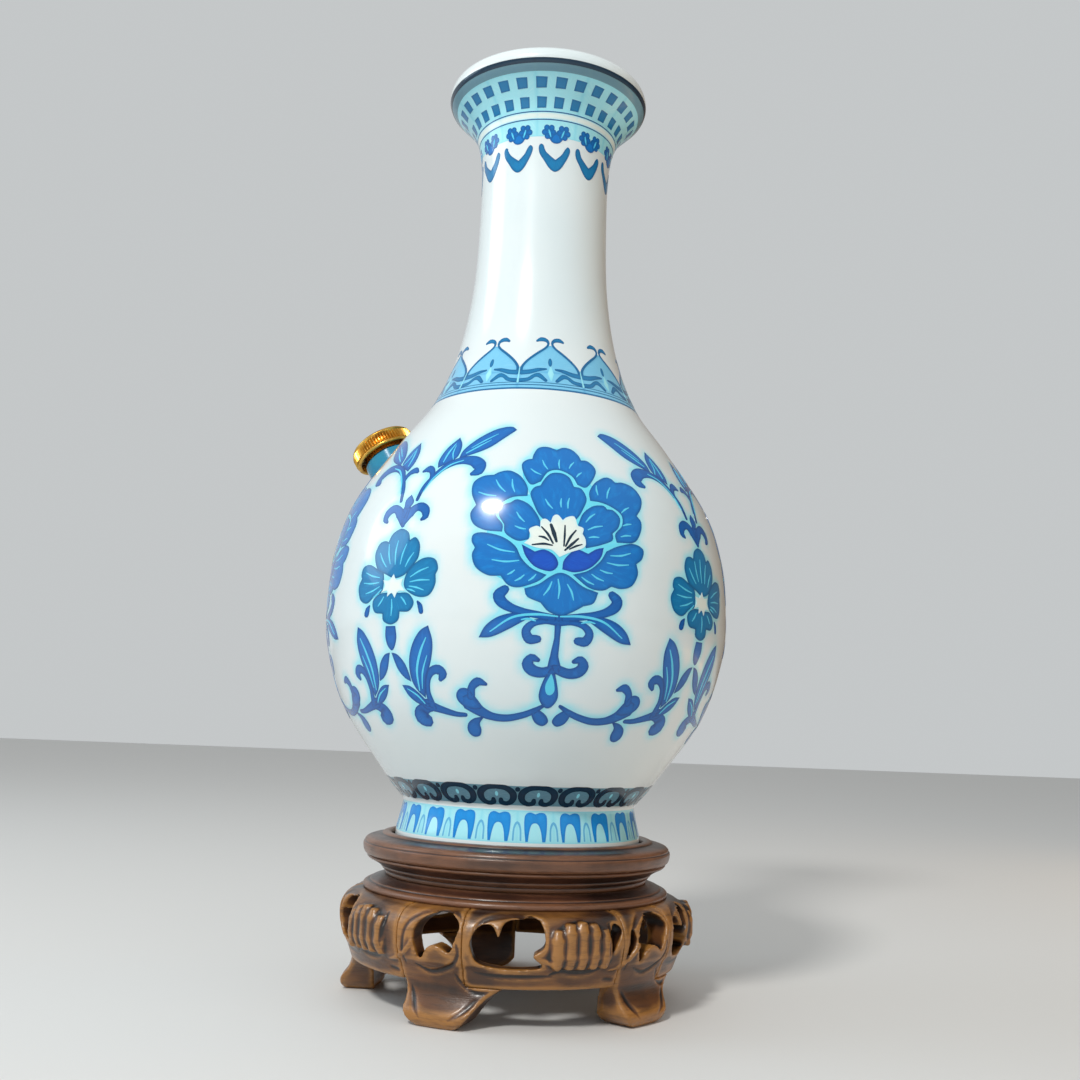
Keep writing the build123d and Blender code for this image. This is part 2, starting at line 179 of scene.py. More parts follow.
# %% The turning tree and the ring tree
lathe_tree, lathe_in, lathe_out = new_tree(
    "turn_about_axis",
    [
        ("Rows", "NodeSocketInt", 2), ("Segments", "NodeSocketInt", 96),
        ("Material", "NodeSocketMaterial", None),
    ],
)
grid = add_node(
    lathe_tree, "GeometryNodeMeshGrid", None, Size_X=1.0, Size_Y=1.0,
    Vertices_X=math_node(lathe_tree, "ADD", lathe_in.outputs["Segments"], 1.0),
    Vertices_Y=lathe_in.outputs["Rows"],
)
spot = add_node(
    lathe_tree, "ShaderNodeSeparateXYZ", None,
    _0=add_node(lathe_tree, "GeometryNodeInputPosition").outputs[0],
)
turn = math_node(lathe_tree, "MULTIPLY", math_node(lathe_tree, "ADD", spot.outputs[0], 0.5), math.tau)
last_row = math_node(lathe_tree, "SUBTRACT", lathe_in.outputs["Rows"], 1.0)
row = math_node(lathe_tree, "MULTIPLY", math_node(lathe_tree, "ADD", spot.outputs[1], 0.5), last_row)
line_point = add_node(
    lathe_tree, "GeometryNodeSampleIndex", {"data_type": "FLOAT_VECTOR", "domain": "POINT"},
    Geometry=lathe_in.outputs["Geometry"],
    Value=add_node(lathe_tree, "GeometryNodeInputPosition").outputs[0],
    Index=math_node(lathe_tree, "ROUND", row),
)
line_xyz = add_node(lathe_tree, "ShaderNodeSeparateXYZ", None, _0=line_point.outputs[0])
forward = math_node(lathe_tree, "MULTIPLY", line_xyz.outputs[0], math_node(lathe_tree, "COSINE", turn))
place_xyz = add_node(
    lathe_tree, "ShaderNodeCombineXYZ", None,
    X=math_node(lathe_tree, "MULTIPLY", line_xyz.outputs[0], math_node(lathe_tree, "SINE", turn)),
    Y=math_node(lathe_tree, "MULTIPLY", forward, -1.0),
    Z=line_xyz.outputs[2],
)
turned = add_node(
    lathe_tree, "GeometryNodeSetPosition", None, Geometry=grid.outputs[0], Position=place_xyz.outputs[0],
)
closed = add_node(
    lathe_tree, "GeometryNodeMergeByDistance", None, Geometry=turned.outputs[0], Distance=0.000002,
)
painted = add_node(
    lathe_tree, "GeometryNodeSetMaterial", None, Geometry=closed.outputs[0],
    Material=lathe_in.outputs["Material"],
)
lathe_tree.links.new(painted.outputs[0], lathe_out.inputs[0])

ring_tree, ring_in, ring_out = new_tree(
    "repeat_round_axis",
    [("Count", "NodeSocketInt", 4), ("Material", "NodeSocketMaterial", None)],
)
spots = add_node(ring_tree, "GeometryNodePoints", None, Count=ring_in.outputs["Count"])
step = math_node(ring_tree, "DIVIDE", math.tau, ring_in.outputs["Count"])
spot_turn = math_node(ring_tree, "MULTIPLY", add_node(ring_tree, "GeometryNodeInputIndex").outputs[0], step)
spot_rotation = add_node(ring_tree, "ShaderNodeCombineXYZ", None, Z=spot_turn)
copies = add_node(
    ring_tree, "GeometryNodeInstanceOnPoints", None,
    Points=spots.outputs[0], Instance=ring_in.outputs["Geometry"], Rotation=spot_rotation.outputs[0],
)
real = add_node(ring_tree, "GeometryNodeRealizeInstances", None, Geometry=copies.outputs[0])
ring_painted = add_node(
    ring_tree, "GeometryNodeSetMaterial", None, Geometry=real.outputs[0],
    Material=ring_in.outputs["Material"],
)
ring_tree.links.new(ring_painted.outputs[0], ring_out.inputs[0])


# %% Running a tree and keeping its result as a plain mesh
def put(name, mesh):
    """A new object at the origin, with its place in its mesh."""
    made = bpy.data.objects.new(name, mesh)
    bpy.context.scene.collection.objects.link(made)
    return made


def run_tree(piece, tree, **values):
    """Runs a tree on a piece, and leaves the piece with the result as its plain mesh."""
    modifier = piece.modifiers.new(tree.name, "NODES")
    modifier.node_group = tree
    for item in tree.interface.items_tree:
        if item.item_type == "SOCKET" and item.in_out == "INPUT" and item.name in values:
            modifier[item.identifier] = values[item.name]
    bpy.context.view_layer.update()
    result = bpy.data.meshes.new_from_object(piece.evaluated_get(bpy.context.evaluated_depsgraph_get()))
    piece.modifiers.remove(modifier)
    piece.data = result
    result.name = piece.name
    return piece


def turned_piece(name, line, segments, material):
    """Turns a line of radius and height, in millimetres, about the axis."""
    mesh = bpy.data.meshes.new(name)
    mesh.from_pydata([(r * MM, 0, z * MM) for r, z in line], [(i, i + 1) for i in range(len(line) - 1)], [])
    piece = run_tree(put(name, mesh), lathe_tree, Rows=len(line), Segments=segments, Material=material)
    shape = bmesh.new()
    shape.from_mesh(piece.data)
    bmesh.ops.recalc_face_normals(shape, faces=shape.faces)
    shape.to_mesh(piece.data)
    shape.free()
    piece.data.shade_smooth()
    return piece


# %% [markdown]
# ## Painting as thin films
#
# The blue painting has crisp edges, deep colour in the middle of each stroke and a pale bloom round it,
# where cobalt ran in the glaze. A flat pattern laid on the wall would blur. Each colour is a very thin
# closed film instead, cut to the painted outline, wrapped on the wall and sunk a little into it. The
# films are stacked in the order in which they were painted: wash, blue, dark blue, pale lines.


# %% Shapes in the plane of the painting
def moved(points, x, up=0.0):
    return [(p[0] + x, p[1] + up, *p[2:]) for p in points]


def stroke(points, widths):
    """A brush stroke: a smooth line with a width at each of its points, and round ends."""
    line = smooth(points, 0.7)
    along = np.concatenate([[0], np.cumsum(np.linalg.norm(np.diff(line, axis=0), axis=1))])
    marks = [along[np.argmin(np.linalg.norm(line - np.array(p[:2]), axis=1))] for p in points]
    marks[0], marks[-1] = 0.0, along[-1]
    half = np.interp(along, np.maximum.accumulate(marks), widths) / 2
    ahead = np.gradient(line, axis=0)
    ahead /= np.linalg.norm(ahead, axis=1)[:, None] + 1e-9
    side = np.stack([-ahead[:, 1], ahead[:, 0]], 1)
    left, right = line + side * half[:, None], line - side * half[:, None]
    caps = []
    for end, first in ((-1, 0.5), (0, 1.5)):
        for turn_part in (0.25, 0.5, 0.75):
            a = math.pi * (first - turn_part) + math.atan2(ahead[end][1], ahead[end][0])
            caps.append(line[end] + half[end] * np.array([math.cos(a), math.sin(a)]))
    return np.vstack([left, caps[:3], right[::-1], caps[3:]])


def oval(x, up, half_x, half_up, count=14):
    a = np.linspace(0, math.tau, count, endpoint=False)
    return np.stack([x + half_x * np.cos(a), up + half_up * np.sin(a)], 1)


def outline(points, step=0.8):
    return smooth(points, step, closed=True)


def inside(polygon, spots):
    """Which spots lie inside a polygon."""
    x, y = spots[:, 0], spots[:, 1]
    hit = np.zeros(len(spots), bool)
    for a, b in zip(polygon, np.roll(polygon, -1, axis=0)):
        crosses = (a[1] > y) != (b[1] > y)
        if crosses.any():
            hit ^= crosses & (x < (b[0] - a[0]) * (y - a[1]) / (b[1] - a[1] + 1e-12) + a[0])
    return hit


def edge_distance(polygon, spots):
    """Distance of each spot from the polygon's edge."""
    near = np.full(len(spots), 1e9)
    for a, b in zip(polygon, np.roll(polygon, -1, axis=0)):
        ab = b - a
        t = np.clip(((spots - a) @ ab) / (ab @ ab + 1e-12), 0, 1)
        near = np.minimum(near, np.linalg.norm(spots - a - t[:, None] * ab, axis=1))
    return near


# %% Wrapping a film on the wall
SUNK = 0.10  # how far a film reaches into the wall
FILL = 1.9  # spacing of a film's inner points on the body; the neck is rounder and needs them closer
SECOND_ROW = 0.7  # how far inside the edge a film's second row of points runs
EDGE_WIDTH = 1.4  # the paint is darker this far in from the edge of a stroke
BRUSH_LENGTH = 40.0  # a full brush stroke
FLOWER_COUNT = 4  # the flowers stand four times round the vase
bloom_shapes = []  # outlines that the cobalt runs from, as angle and distance up the wall


def film_mesh(name, shapes, lift, reach):
    """A closed film over each outline. A shape is (points, root of its brush strokes); reach is the wall's
    radius that its sideways millimetres were measured on."""
    points, faces, edge_mark, brush = [], [], [], []
    for polygon, root in shapes:
        low, high = polygon.min(0), polygon.max(0)
        fill = FILL if reach > 50 else 0.6 * FILL
        columns, rows = np.arange(low[0], high[0], fill), np.arange(low[1], high[1], fill * 0.87)
        gx, gy = np.meshgrid(columns, rows)
        gx[1::2] += fill / 2
        inner = np.stack([gx.ravel(), gy.ravel()], 1)
        ahead = np.roll(polygon, -1, axis=0) - np.roll(polygon, 1, axis=0)
        ahead /= np.linalg.norm(ahead, axis=1)[:, None] + 1e-9
        x, y = polygon[:, 0], polygon[:, 1]
        area = 0.5 * np.sum(x * np.roll(y, -1) - np.roll(x, -1) * y)
        inward = np.stack([-ahead[:, 1], ahead[:, 0]], 1) * (1 if area > 0 else -1)
        near = polygon + inward * SECOND_ROW
        keep = inside(polygon, near)
        keep[keep] = edge_distance(polygon, near[keep]) > SECOND_ROW - 0.1
        far = inner[inside(polygon, inner)]
        far = far[edge_distance(polygon, far) > 1.3] if len(far) else far
        spots = np.vstack([polygon, near[keep], far])
        count = len(polygon)
        out = delaunay_2d_cdt([Vector(p) for p in spots], [], [list(range(count))], 1, 1e-5)
        flat = np.array([tuple(p) for p in out[0]])
        depth = edge_distance(polygon, flat)
        size = len(flat)
        base = len(points)
        for level in (lift, -SUNK):
            r, z, nr, nz = on_wall(flat[:, 1])
            a = flat[:, 0] / reach
            rr, zz = r + nr * level, z + nz * level
            points.extend(np.stack([rr * np.sin(a), -rr * np.cos(a), zz], 1))
        borders = {}
        for face in out[2]:
            p, q, s = (flat[i] for i in face[:3])
            up_way = (q[0] - p[0]) * (s[1] - p[1]) - (q[1] - p[1]) * (s[0] - p[0]) > 0
            tri = list(face) if up_way else list(face)[::-1]
            faces.append([base + i for i in tri])
            faces.append([base + size + i for i in tri[::-1]])
            for i, j in zip(tri, tri[1:] + tri[:1]):
                borders[(i, j)] = borders.get((i, j), 0) + 1
        for i, j in borders:
            if (j, i) not in borders:
                faces.append([base + j, base + i, base + size + i, base + size + j])
        edge_mark.extend(list(np.clip(depth / EDGE_WIDTH, 0, 1)) * 2)
        away = flat - np.array(root if root is not None else polygon.mean(0))
        bearing = np.arctan2(away[:, 0], away[:, 1])
        distance = np.linalg.norm(away, axis=1) / BRUSH_LENGTH
        brush.extend(list(np.stack([bearing, distance, 0 * distance], 1)) * 2)
    mesh = bpy.data.meshes.new(name)
    mesh.from_pydata([tuple(np.array(p) * MM) for p in points], [], faces)
    depths = mesh.attributes.new("depth", "FLOAT", "POINT").data
    depths.foreach_set("value", np.array(edge_mark, np.float32))
    strokes = mesh.attributes.new("brush", "FLOAT_VECTOR", "POINT").data
    strokes.foreach_set("vector", np.array(brush, np.float32).ravel())
    return mesh


def wall_normals(piece):
    """Gives the film's outer side the wall's own normals, so that the glaze over it reflects as one."""
    mesh = piece.data
    count = len(mesh.loops)
    where = np.empty(len(mesh.vertices) * 3, np.float32)
    mesh.vertices.foreach_get("co", where)
    where = where.reshape(-1, 3) / MM
    corner = np.empty(count, np.int32)
    mesh.loops.foreach_get("vertex_index", corner)
    sizes = np.empty(len(mesh.polygons), np.int32)
    mesh.polygons.foreach_get("loop_total", sizes)
    flat_normal = np.empty(len(mesh.polygons) * 3, np.float32)
    mesh.polygons.foreach_get("normal", flat_normal)
    flat_normal = np.repeat(flat_normal.reshape(-1, 3), sizes, axis=0)
    spots = where[corner]
    radius = np.hypot(spots[:, 0], spots[:, 1])
    table = np.linspace(-14, full_length[-1] - PINCH_LENGTH, 600)
    r, z, nr, nz = on_wall(table)
    order = np.argsort(z)
    nr, nz = np.interp(spots[:, 2], z[order], nr[order]), np.interp(spots[:, 2], z[order], nz[order])
    wall = np.stack([nr * spots[:, 0] / radius, nr * spots[:, 1] / radius, nz], 1)
    facing = np.sum(wall * flat_normal, axis=1)
    custom = np.where((facing > 0.7)[:, None], wall, flat_normal)  # the sides of a film keep their own
    mesh.shade_smooth()
    mesh.normals_split_custom_set([tuple(n) for n in custom])


def film(name, shapes, lift, reach, count, material):
    """A painted film on the vase, repeated round it."""
    piece = put(name, film_mesh(name, shapes, lift, reach))
    if count == FLOWER_COUNT:
        bloom_shapes.extend(polygon / [reach, 1] for polygon, _ in shapes)
    run_tree(piece, ring_tree, Count=count, Material=material)
    wall_normals(piece)
    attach(piece, "vase")
    print(name, len(piece.data.polygons), "faces")


# %% [markdown]
# ## The large flower and its branch
#
# Sideways and upward places are in millimetres on the wall. The flower's middle line is at 0, and upward
# is measured from the pinch over the foot. Each petal is an outline with only a few points: a third value
# of 1 marks the notch between two scallops, where the smooth line breaks.

# %% Large flower: petals
FLOWER_REACH = 60.0
FLOWER_UP = 56.0
petals = [
    # top, from its left foot clockwise
    [(-8.7, 43.5), (-10.9, 47.0), (-11.8, 50.8), (-10.4, 52.7), (-8.6, 53.2, 1), (-8.2, 55.2), (-6.6, 57.9),
     (-3.5, 58.5), (-0.4, 57.4, 1), (1.8, 58.6), (4.6, 58.2), (6.8, 56.0), (7.5, 53.9, 1), (9.6, 53.9),
     (11.7, 51.5), (11.3, 48.6), (7.9, 43.8), (5.1, 44.4, 1), (3.6, 47.4), (-0.2, 49.3), (-3.6, 48.3),
     (-5.8, 44.7, 1)],
    # middle top
    [(-5.9, 33.6), (-7.6, 37.0), (-8.7, 40.4), (-7.6, 42.6), (-5.9, 43.3, 1), (-4.6, 45.8), (-2.6, 47.9),
     (0.4, 48.2), (2.8, 46.8), (4.0, 43.6, 1), (6.2, 43.1), (7.5, 40.0), (6.4, 36.8), (4.2, 33.2),
     (0.4, 31.0), (-3.0, 31.4)],
    # right top, outer
    [(8.5, 39.4, 1), (8.5, 42.2), (10.6, 45.6), (14.2, 48.1), (16.4, 48.0), (17.7, 46.7, 1), (20.4, 47.1),
     (23.8, 45.9), (25.8, 42.6), (25.0, 39.2), (22.9, 36.3, 1), (24.2, 34.4), (23.4, 31.0), (20.9, 27.9),
     (15.6, 27.3, 1), (15.3, 29.8), (17.6, 32.6), (17.8, 35.8), (15.4, 37.8), (12.0, 39.1)],
    # right top, inner
    [(4.6, 31.6, 1), (6.2, 35.2), (9.2, 37.7), (12.4, 38.2), (13.4, 37.2, 1), (15.4, 37.0), (17.2, 34.8),
     (16.4, 31.8), (14.5, 29.9, 1), (14.3, 27.8), (10.6, 26.0), (6.6, 24.8, 1), (6.3, 27.6)],
    # left top, outer
    [(-9.5, 39.6, 1), (-9.6, 42.6), (-11.8, 46.3), (-15.2, 48.3), (-18.2, 47.8), (-19.9, 46.7, 1),
     (-23.2, 46.2), (-25.7, 44.0), (-25.6, 40.2), (-23.8, 36.5, 1), (-25.1, 33.8), (-23.8, 30.6),
     (-20.4, 28.8), (-15.8, 28.4, 1), (-15.8, 30.6), (-17.8, 33.4), (-17.0, 36.6), (-13.8, 39.0)],
    # left top, inner
    [(-5.4, 30.4, 1), (-6.2, 33.2), (-8.8, 36.8), (-12.2, 38.4), (-14.0, 37.4, 1), (-16.2, 36.4),
     (-17.2, 33.8), (-15.4, 30.6, 1), (-14.9, 28.0), (-11.6, 25.9), (-8.6, 26.4, 1), (-8.0, 29.6)],
    # left low, wide
    [(-23.8, 25.6), (-23.4, 27.6), (-20.6, 28.1), (-15.6, 26.9), (-12.0, 24.3), (-10.2, 20.9), (-7.4, 18.2),
     (-3.6, 16.6, 1), (-6.0, 14.6), (-10.4, 12.9), (-13.4, 13.4), (-15.5, 15.9, 1), (-18.9, 16.0),
     (-22.2, 18.2), (-23.4, 21.6), (-22.7, 23.7, 1)],
    # right low, wide
    [(12.4, 24.4, 1), (15.8, 26.2), (20.6, 27.5), (23.8, 26.2), (23.3, 23.4), (21.4, 21.7, 1), (21.8, 18.8),
     (20.0, 15.4), (16.8, 14.2), (13.9, 14.6, 1), (11.4, 13.3), (7.6, 13.8), (3.2, 17.1, 1), (7.4, 18.6),
     (10.6, 21.4)],
    # bottom middle
    [(-0.4, 17.4), (-3.0, 16.0), (-5.6, 14.0), (-9.2, 12.6, 1), (-8.4, 10.4), (-4.9, 8.9, 1), (-2.8, 6.6),
     (0.6, 5.6), (3.8, 7.0), (6.3, 8.6, 1), (9.0, 9.6), (10.2, 12.6, 1), (6.0, 14.0), (2.2, 16.8)],
]
dark_petals = [
    [(-10.4, 24.9, 1), (-8.7, 24.0), (-6.9, 23.0, 1), (-4.4, 23.7), (-1.7, 22.2), (-0.7, 19.6),
     (-2.6, 17.7), (-6.6, 18.7), (-9.2, 21.6)],
    [(0.4, 18.4, 1), (0.9, 21.2), (4.0, 24.2), (7.3, 23.3, 1), (9.6, 24.8), (11.7, 25.4, 1), (10.7, 22.3),
     (7.7, 19.2), (3.8, 17.8)],
]
petals = [outline(moved(p, 0, FLOWER_UP)) for p in petals]
dark_petals = [outline(moved(p, 0, FLOWER_UP)) for p in dark_petals]

# %% Large flower: the pale ground that shows between its petals
flower_ground = outline(moved([
    (-9.0, 40.0), (-11.3, 47.6), (-7.8, 53.4), (-4.4, 57.4), (4.0, 57.6), (7.0, 53.2), (11.0, 50.0),
    (9.4, 44.6), (15.8, 47.4), (24.4, 43.8), (22.4, 36.0), (23.0, 31.4), (19.6, 27.3), (23.0, 25.8),
    (20.9, 21.0), (18.8, 15.6), (10.0, 13.8), (6.0, 9.8), (0.6, 6.6), (-5.0, 10.0), (-8.2, 12.4),
    (-14.6, 14.8), (-21.8, 19.4), (-22.8, 26.8), (-19.8, 28.4), (-23.8, 33.6), (-22.8, 37.6), (-24.6, 42.6),
    (-15.6, 47.2)], 0, FLOWER_UP))

# %% Large flower: stamens and their dark strokes
stamens = outline(
    moved(
        [
            (-0.4, 21.8, 1), (-2.6, 23.7), (-6.4, 24.1), (-9.8, 25.3, 1), (-8.2, 27.2), (-8.6, 29.4),
            (-6.6, 30.5), (-5.7, 30.0, 1), (-5.5, 32.2), (-4.2, 32.7), (-2.9, 31.6, 1), (-2.2, 33.7),
            (-0.9, 34.1), (0.4, 32.6, 1), (1.6, 33.6), (3.6, 33.9), (4.5, 31.2, 1), (6.1, 30.6),
            (5.8, 28.9, 1), (6.6, 27.2), (6.2, 25.0), (2.4, 23.3),
        ],
        0, FLOWER_UP,
    ),
    0.6,
)
stamen_strokes = [
    stroke(moved(line, 0, FLOWER_UP), widths)
    for line, widths in [
        ([(-1.3, 26.2), (-2.0, 28.6), (-2.8, 31.0)], [0.7, 1.2, 0.8]),
        ([(-2.2, 25.6), (-3.6, 28.2), (-5.3, 30.2)], [0.5, 0.7, 0.4]),
        ([(0.7, 25.0), (0.9, 28.0), (1.0, 31.0)], [0.4, 0.6, 0.4]),
        ([(1.2, 25.0), (2.4, 27.6), (4.0, 29.8)], [0.5, 0.7, 0.4]),
        ([(1.0, 23.8), (2.8, 25.6), (4.6, 27.4)], [0.5, 0.8, 0.5]),
        ([(2.2, 24.2), (4.0, 25.2), (5.6, 25.8)], [0.4, 0.6, 0.3]),
        ([(-3.4, 26.4), (-4.6, 27.2), (-5.9, 27.4)], [0.4, 0.7, 0.4]),
        ([(-2.4, 25.0), (-4.6, 25.3), (-7.6, 24.9)], [0.4, 0.7, 0.4]),
    ]
]

# %% Large flower: veins, as (from, to) pairs
vein_lines = [
    ((-5.3, 52.8), (-3.7, 49.4)), ((0.2, 53.4), (0.0, 50.0)), ((4.9, 52.8), (3.1, 50.3)),
    ((-8.9, 49.2), (-5.8, 47.2)), ((6.9, 49.0), (5.1, 47.2)),
    ((-4.4, 38.8), (-2.4, 36.0)), ((0.1, 39.3), (0.0, 36.6)), ((2.4, 39.6), (1.9, 36.4)),
    ((11.0, 44.8), (11.1, 41.6)), ((15.4, 44.6), (13.8, 40.8)), ((20.6, 38.6), (17.9, 36.6)),
    ((20.6, 33.4), (17.9, 32.6)), ((20.1, 29.8), (17.0, 29.2)),
    ((9.6, 35.3), (6.9, 32.6)), ((11.6, 31.8), (7.4, 30.3)), ((10.4, 28.3), (7.6, 28.0)),
    ((-19.0, 44.8), (-15.9, 40.8)), ((-14.2, 45.1), (-13.2, 40.8)), ((-23.6, 40.6), (-18.4, 39.4)),
    ((-12.2, 34.4), (-10.0, 31.6)), ((-12.4, 30.2), (-9.6, 29.4)),
    ((-19.4, 24.6), (-12.2, 22.6)), ((-17.9, 20.3), (-10.9, 20.3)), ((-13.7, 16.3), (-11.9, 17.6)),
    ((-11.7, 14.6), (-9.4, 16.3)), ((-8.2, 14.8), (-6.4, 16.6)),
    ((13.6, 23.3), (19.6, 24.6)), ((12.6, 21.2), (18.9, 21.2)), ((10.6, 19.0), (14.1, 18.3)),
    ((8.3, 17.6), (11.6, 16.0)), ((5.6, 16.6), (8.9, 14.8)),
    ((-4.2, 11.0), (-2.2, 14.8)), ((-0.4, 10.3), (-0.6, 15.6)), ((3.6, 10.1), (1.9, 14.3)),
]


def vein(start, end, width=0.55, bow=0.06):
    """A fine pale stroke, a little bowed."""
    middle = (
        (start[0] + end[0]) / 2 + bow * (end[1] - start[1]),
        (start[1] + end[1]) / 2 - bow * (end[0] - start[0]),
    )
    return stroke([start, middle, end], [width * 0.45, width, width * 0.5])


flower_veins = [vein((a[0], a[1] + FLOWER_UP), (b[0], b[1] + FLOWER_UP)) for a, b in vein_lines]

# %% Branch under the large flower
half_branch = [
    stroke(
        [(0, 60.4), (4.5, 61.4), (9.0, 62.2), (12.4, 63.2), (14.9, 64.8), (15.6, 66.6), (14.2, 68.2)],
        [2.4, 2.0, 2.0, 2.4, 3.0, 3.2, 2.4],
    ),
    outline(
        [
            (7.4, 60.8, 1), (11.0, 61.9), (15.4, 60.8), (18.8, 58.2), (20.6, 54.9, 1), (17.2, 55.2),
            (12.8, 57.4),
        ]
    ),
    stroke(
        [(0.4, 59.6), (3.4, 59.9), (6.6, 59.2), (8.3, 57.2), (7.4, 55.0), (5.3, 55.0)],
        [1.6, 1.4, 1.8, 2.3, 2.8, 2.2],
    ),
    stroke(
        [(0.2, 47.0), (3.4, 45.9), (6.2, 46.4), (7.5, 48.1), (6.5, 49.8), (4.8, 49.3)],
        [2.6, 2.8, 3.2, 3.2, 2.4, 1.2],
    ),
    stroke(
        [(2.4, 36.4), (5.3, 34.6), (8.6, 33.2), (12.9, 32.2), (17.1, 32.5), (20.7, 34.0), (23.8, 36.6)],
        [1.0, 1.8, 2.0, 2.2, 2.4, 3.2, 5.0],
    ),
    outline(
        [
            (20.4, 34.8), (22.0, 37.6), (23.2, 39.8), (24.8, 40.7), (26.6, 40.3), (27.6, 38.6),
            (27.0, 36.6), (24.4, 34.8),
        ]
    ),
    stroke([(23.2, 38.4), (22.8, 41.0), (21.0, 42.6), (18.8, 42.0)], [2.4, 2.2, 2.6, 1.0]),
    outline(
        [
            (19.6, 32.4, 1), (22.9, 31.7), (25.0, 29.9), (25.3, 27.4), (23.7, 25.8), (21.6, 26.2),
            (20.9, 28.2), (21.2, 30.2),
        ]
    ),
    outline([(1.2, 33.2), (0.6, 31.4), (2.2, 30.1), (4.6, 31.2), (5.8, 34.0), (4.6, 35.4), (2.8, 34.6)]),
]
middle_branch = [
    stroke([(-0.2, 61.1), (-0.2, 55.6), (-0.6, 50.6), (-0.4, 47.2)], [1.8, 1.5, 2.2, 3.8]),
    outline(
        [(-0.8, 48.2, 1), (-3.2, 43.3), (-4.0, 38.9), (-2.3, 36.0), (-0.3, 36.0), (1.4, 38.9), (0.7, 43.3)]
    ),
]
branch = half_branch + [shape * [-1, 1] for shape in half_branch] + middle_branch
bud_loop = [(-1.0, 45.4), (-2.1, 42.4), (-1.8, 40.3), (-0.9, 39.8), (0.0, 40.8), (-0.3, 43.2), (-0.9, 45.2)]
half_veins = [
    stroke([(0.4, 61.4), (6.0, 61.7), (12.0, 60.6), (17.6, 56.6)], [0.4, 0.7, 0.6, 0.3]),
    stroke([(6.0, 59.9), (8.0, 60.4), (9.6, 60.1)], [0.3, 0.6, 0.3]),
]
bud_vein = stroke(bud_loop, [0.3, 0.5, 0.5, 0.5, 0.5, 0.5, 0.3])
branch_veins = [bud_vein] + half_veins + [s * [-1, 1] for s in half_veins]

# %% [markdown]
# ## The smaller flower between two large ones
#
# It stands half a turn of the pattern away. Above it two sprays reach over the shoulders of the large
# flowers, and below it two tall leaves stand on the garland.

# %% Smaller flower
SIDE_FLOWER = -46.3  # sideways place of the smaller flower's middle line
side_petals = [
    outline(
        [
            (-3.2, 72.6), (-6.8, 74.3), (-8.6, 78.4), (-7.5, 81.8), (-5.4, 82.6), (-3.9, 82.2, 1),
            (-2.8, 84.6), (0.0, 86.0), (2.8, 84.8), (3.8, 82.3, 1), (5.6, 83.1), (7.4, 80.8), (7.3, 77.0),
            (5.2, 74.2), (3.2, 72.2), (0.0, 71.4),
        ]
    ),
    outline(
        [
            (-4.2, 72.8), (-6.9, 74.4), (-10.4, 75.9), (-13.2, 75.2), (-13.9, 73.0), (-13.4, 72.0, 1),
            (-14.7, 69.4), (-13.4, 65.8), (-10.1, 64.6), (-6.8, 66.8), (-4.2, 67.9),
        ]
    ),
    outline(
        [
            (4.0, 72.6), (6.4, 75.4), (9.6, 77.0), (12.6, 76.5), (13.7, 74.0), (13.1, 72.2, 1),
            (13.2, 69.4), (11.6, 66.4), (8.4, 65.9), (5.0, 67.4), (3.4, 69.4),
        ]
    ),
    outline(
        [
            (-1.8, 67.4), (-5.4, 67.0), (-7.7, 65.0), (-6.8, 62.0), (-3.6, 61.4, 1), (-3.3, 59.4),
            (-0.5, 58.3), (2.1, 59.6), (2.5, 61.9, 1), (5.6, 62.0), (7.0, 64.4), (5.0, 67.0), (1.6, 67.2),
        ]
    ),
]
side_star = outline(
    [
        (-0.3, 72.6, 1), (0.7, 71.0), (3.0, 71.3, 1), (2.6, 69.5), (3.9, 67.7, 1), (1.6, 67.6),
        (0.6, 65.8, 1), (-0.6, 67.2), (-2.1, 66.2, 1), (-2.3, 67.9), (-4.4, 67.5, 1), (-3.3, 69.3),
        (-4.0, 71.0, 1), (-1.8, 70.9),
    ],
    0.5,
)
side_vein_lines = [
    ((-6.4, 79.0), (-3.4, 74.8)), ((-3.4, 81.4), (-2.0, 75.6)), ((-0.2, 82.4), (-0.2, 75.4)),
    ((3.0, 81.2), (1.6, 75.4)), ((5.8, 78.6), (3.4, 74.6)), ((-11.6, 73.6), (-5.6, 71.8)),
    ((-12.2, 70.6), (-5.8, 70.4)), ((-11.0, 67.4), (-5.4, 69.2)), ((10.8, 74.2), (5.4, 71.6)),
    ((11.4, 70.6), (5.4, 70.2)), ((9.8, 67.8), (5.2, 69.0)), ((-5.4, 63.6), (-3.4, 66.2)),
    ((-0.4, 60.8), (-0.4, 65.4)), ((4.6, 63.8), (2.8, 66.0)), ((-7.6, 66.2), (-4.6, 68.3)),
    ((7.2, 67.4), (4.6, 68.2)),
]
side_veins = [vein(a, b, 0.5, 0.04) for a, b in side_vein_lines]
commas = [
    stroke([(-9.0, 63.8), (-9.7, 62.8), (-10.2, 61.5)], [0.6, 1.8, 2.0]),
    stroke([(8.2, 64.6), (9.0, 63.4), (9.4, 61.8)], [0.6, 1.5, 1.4]),
]

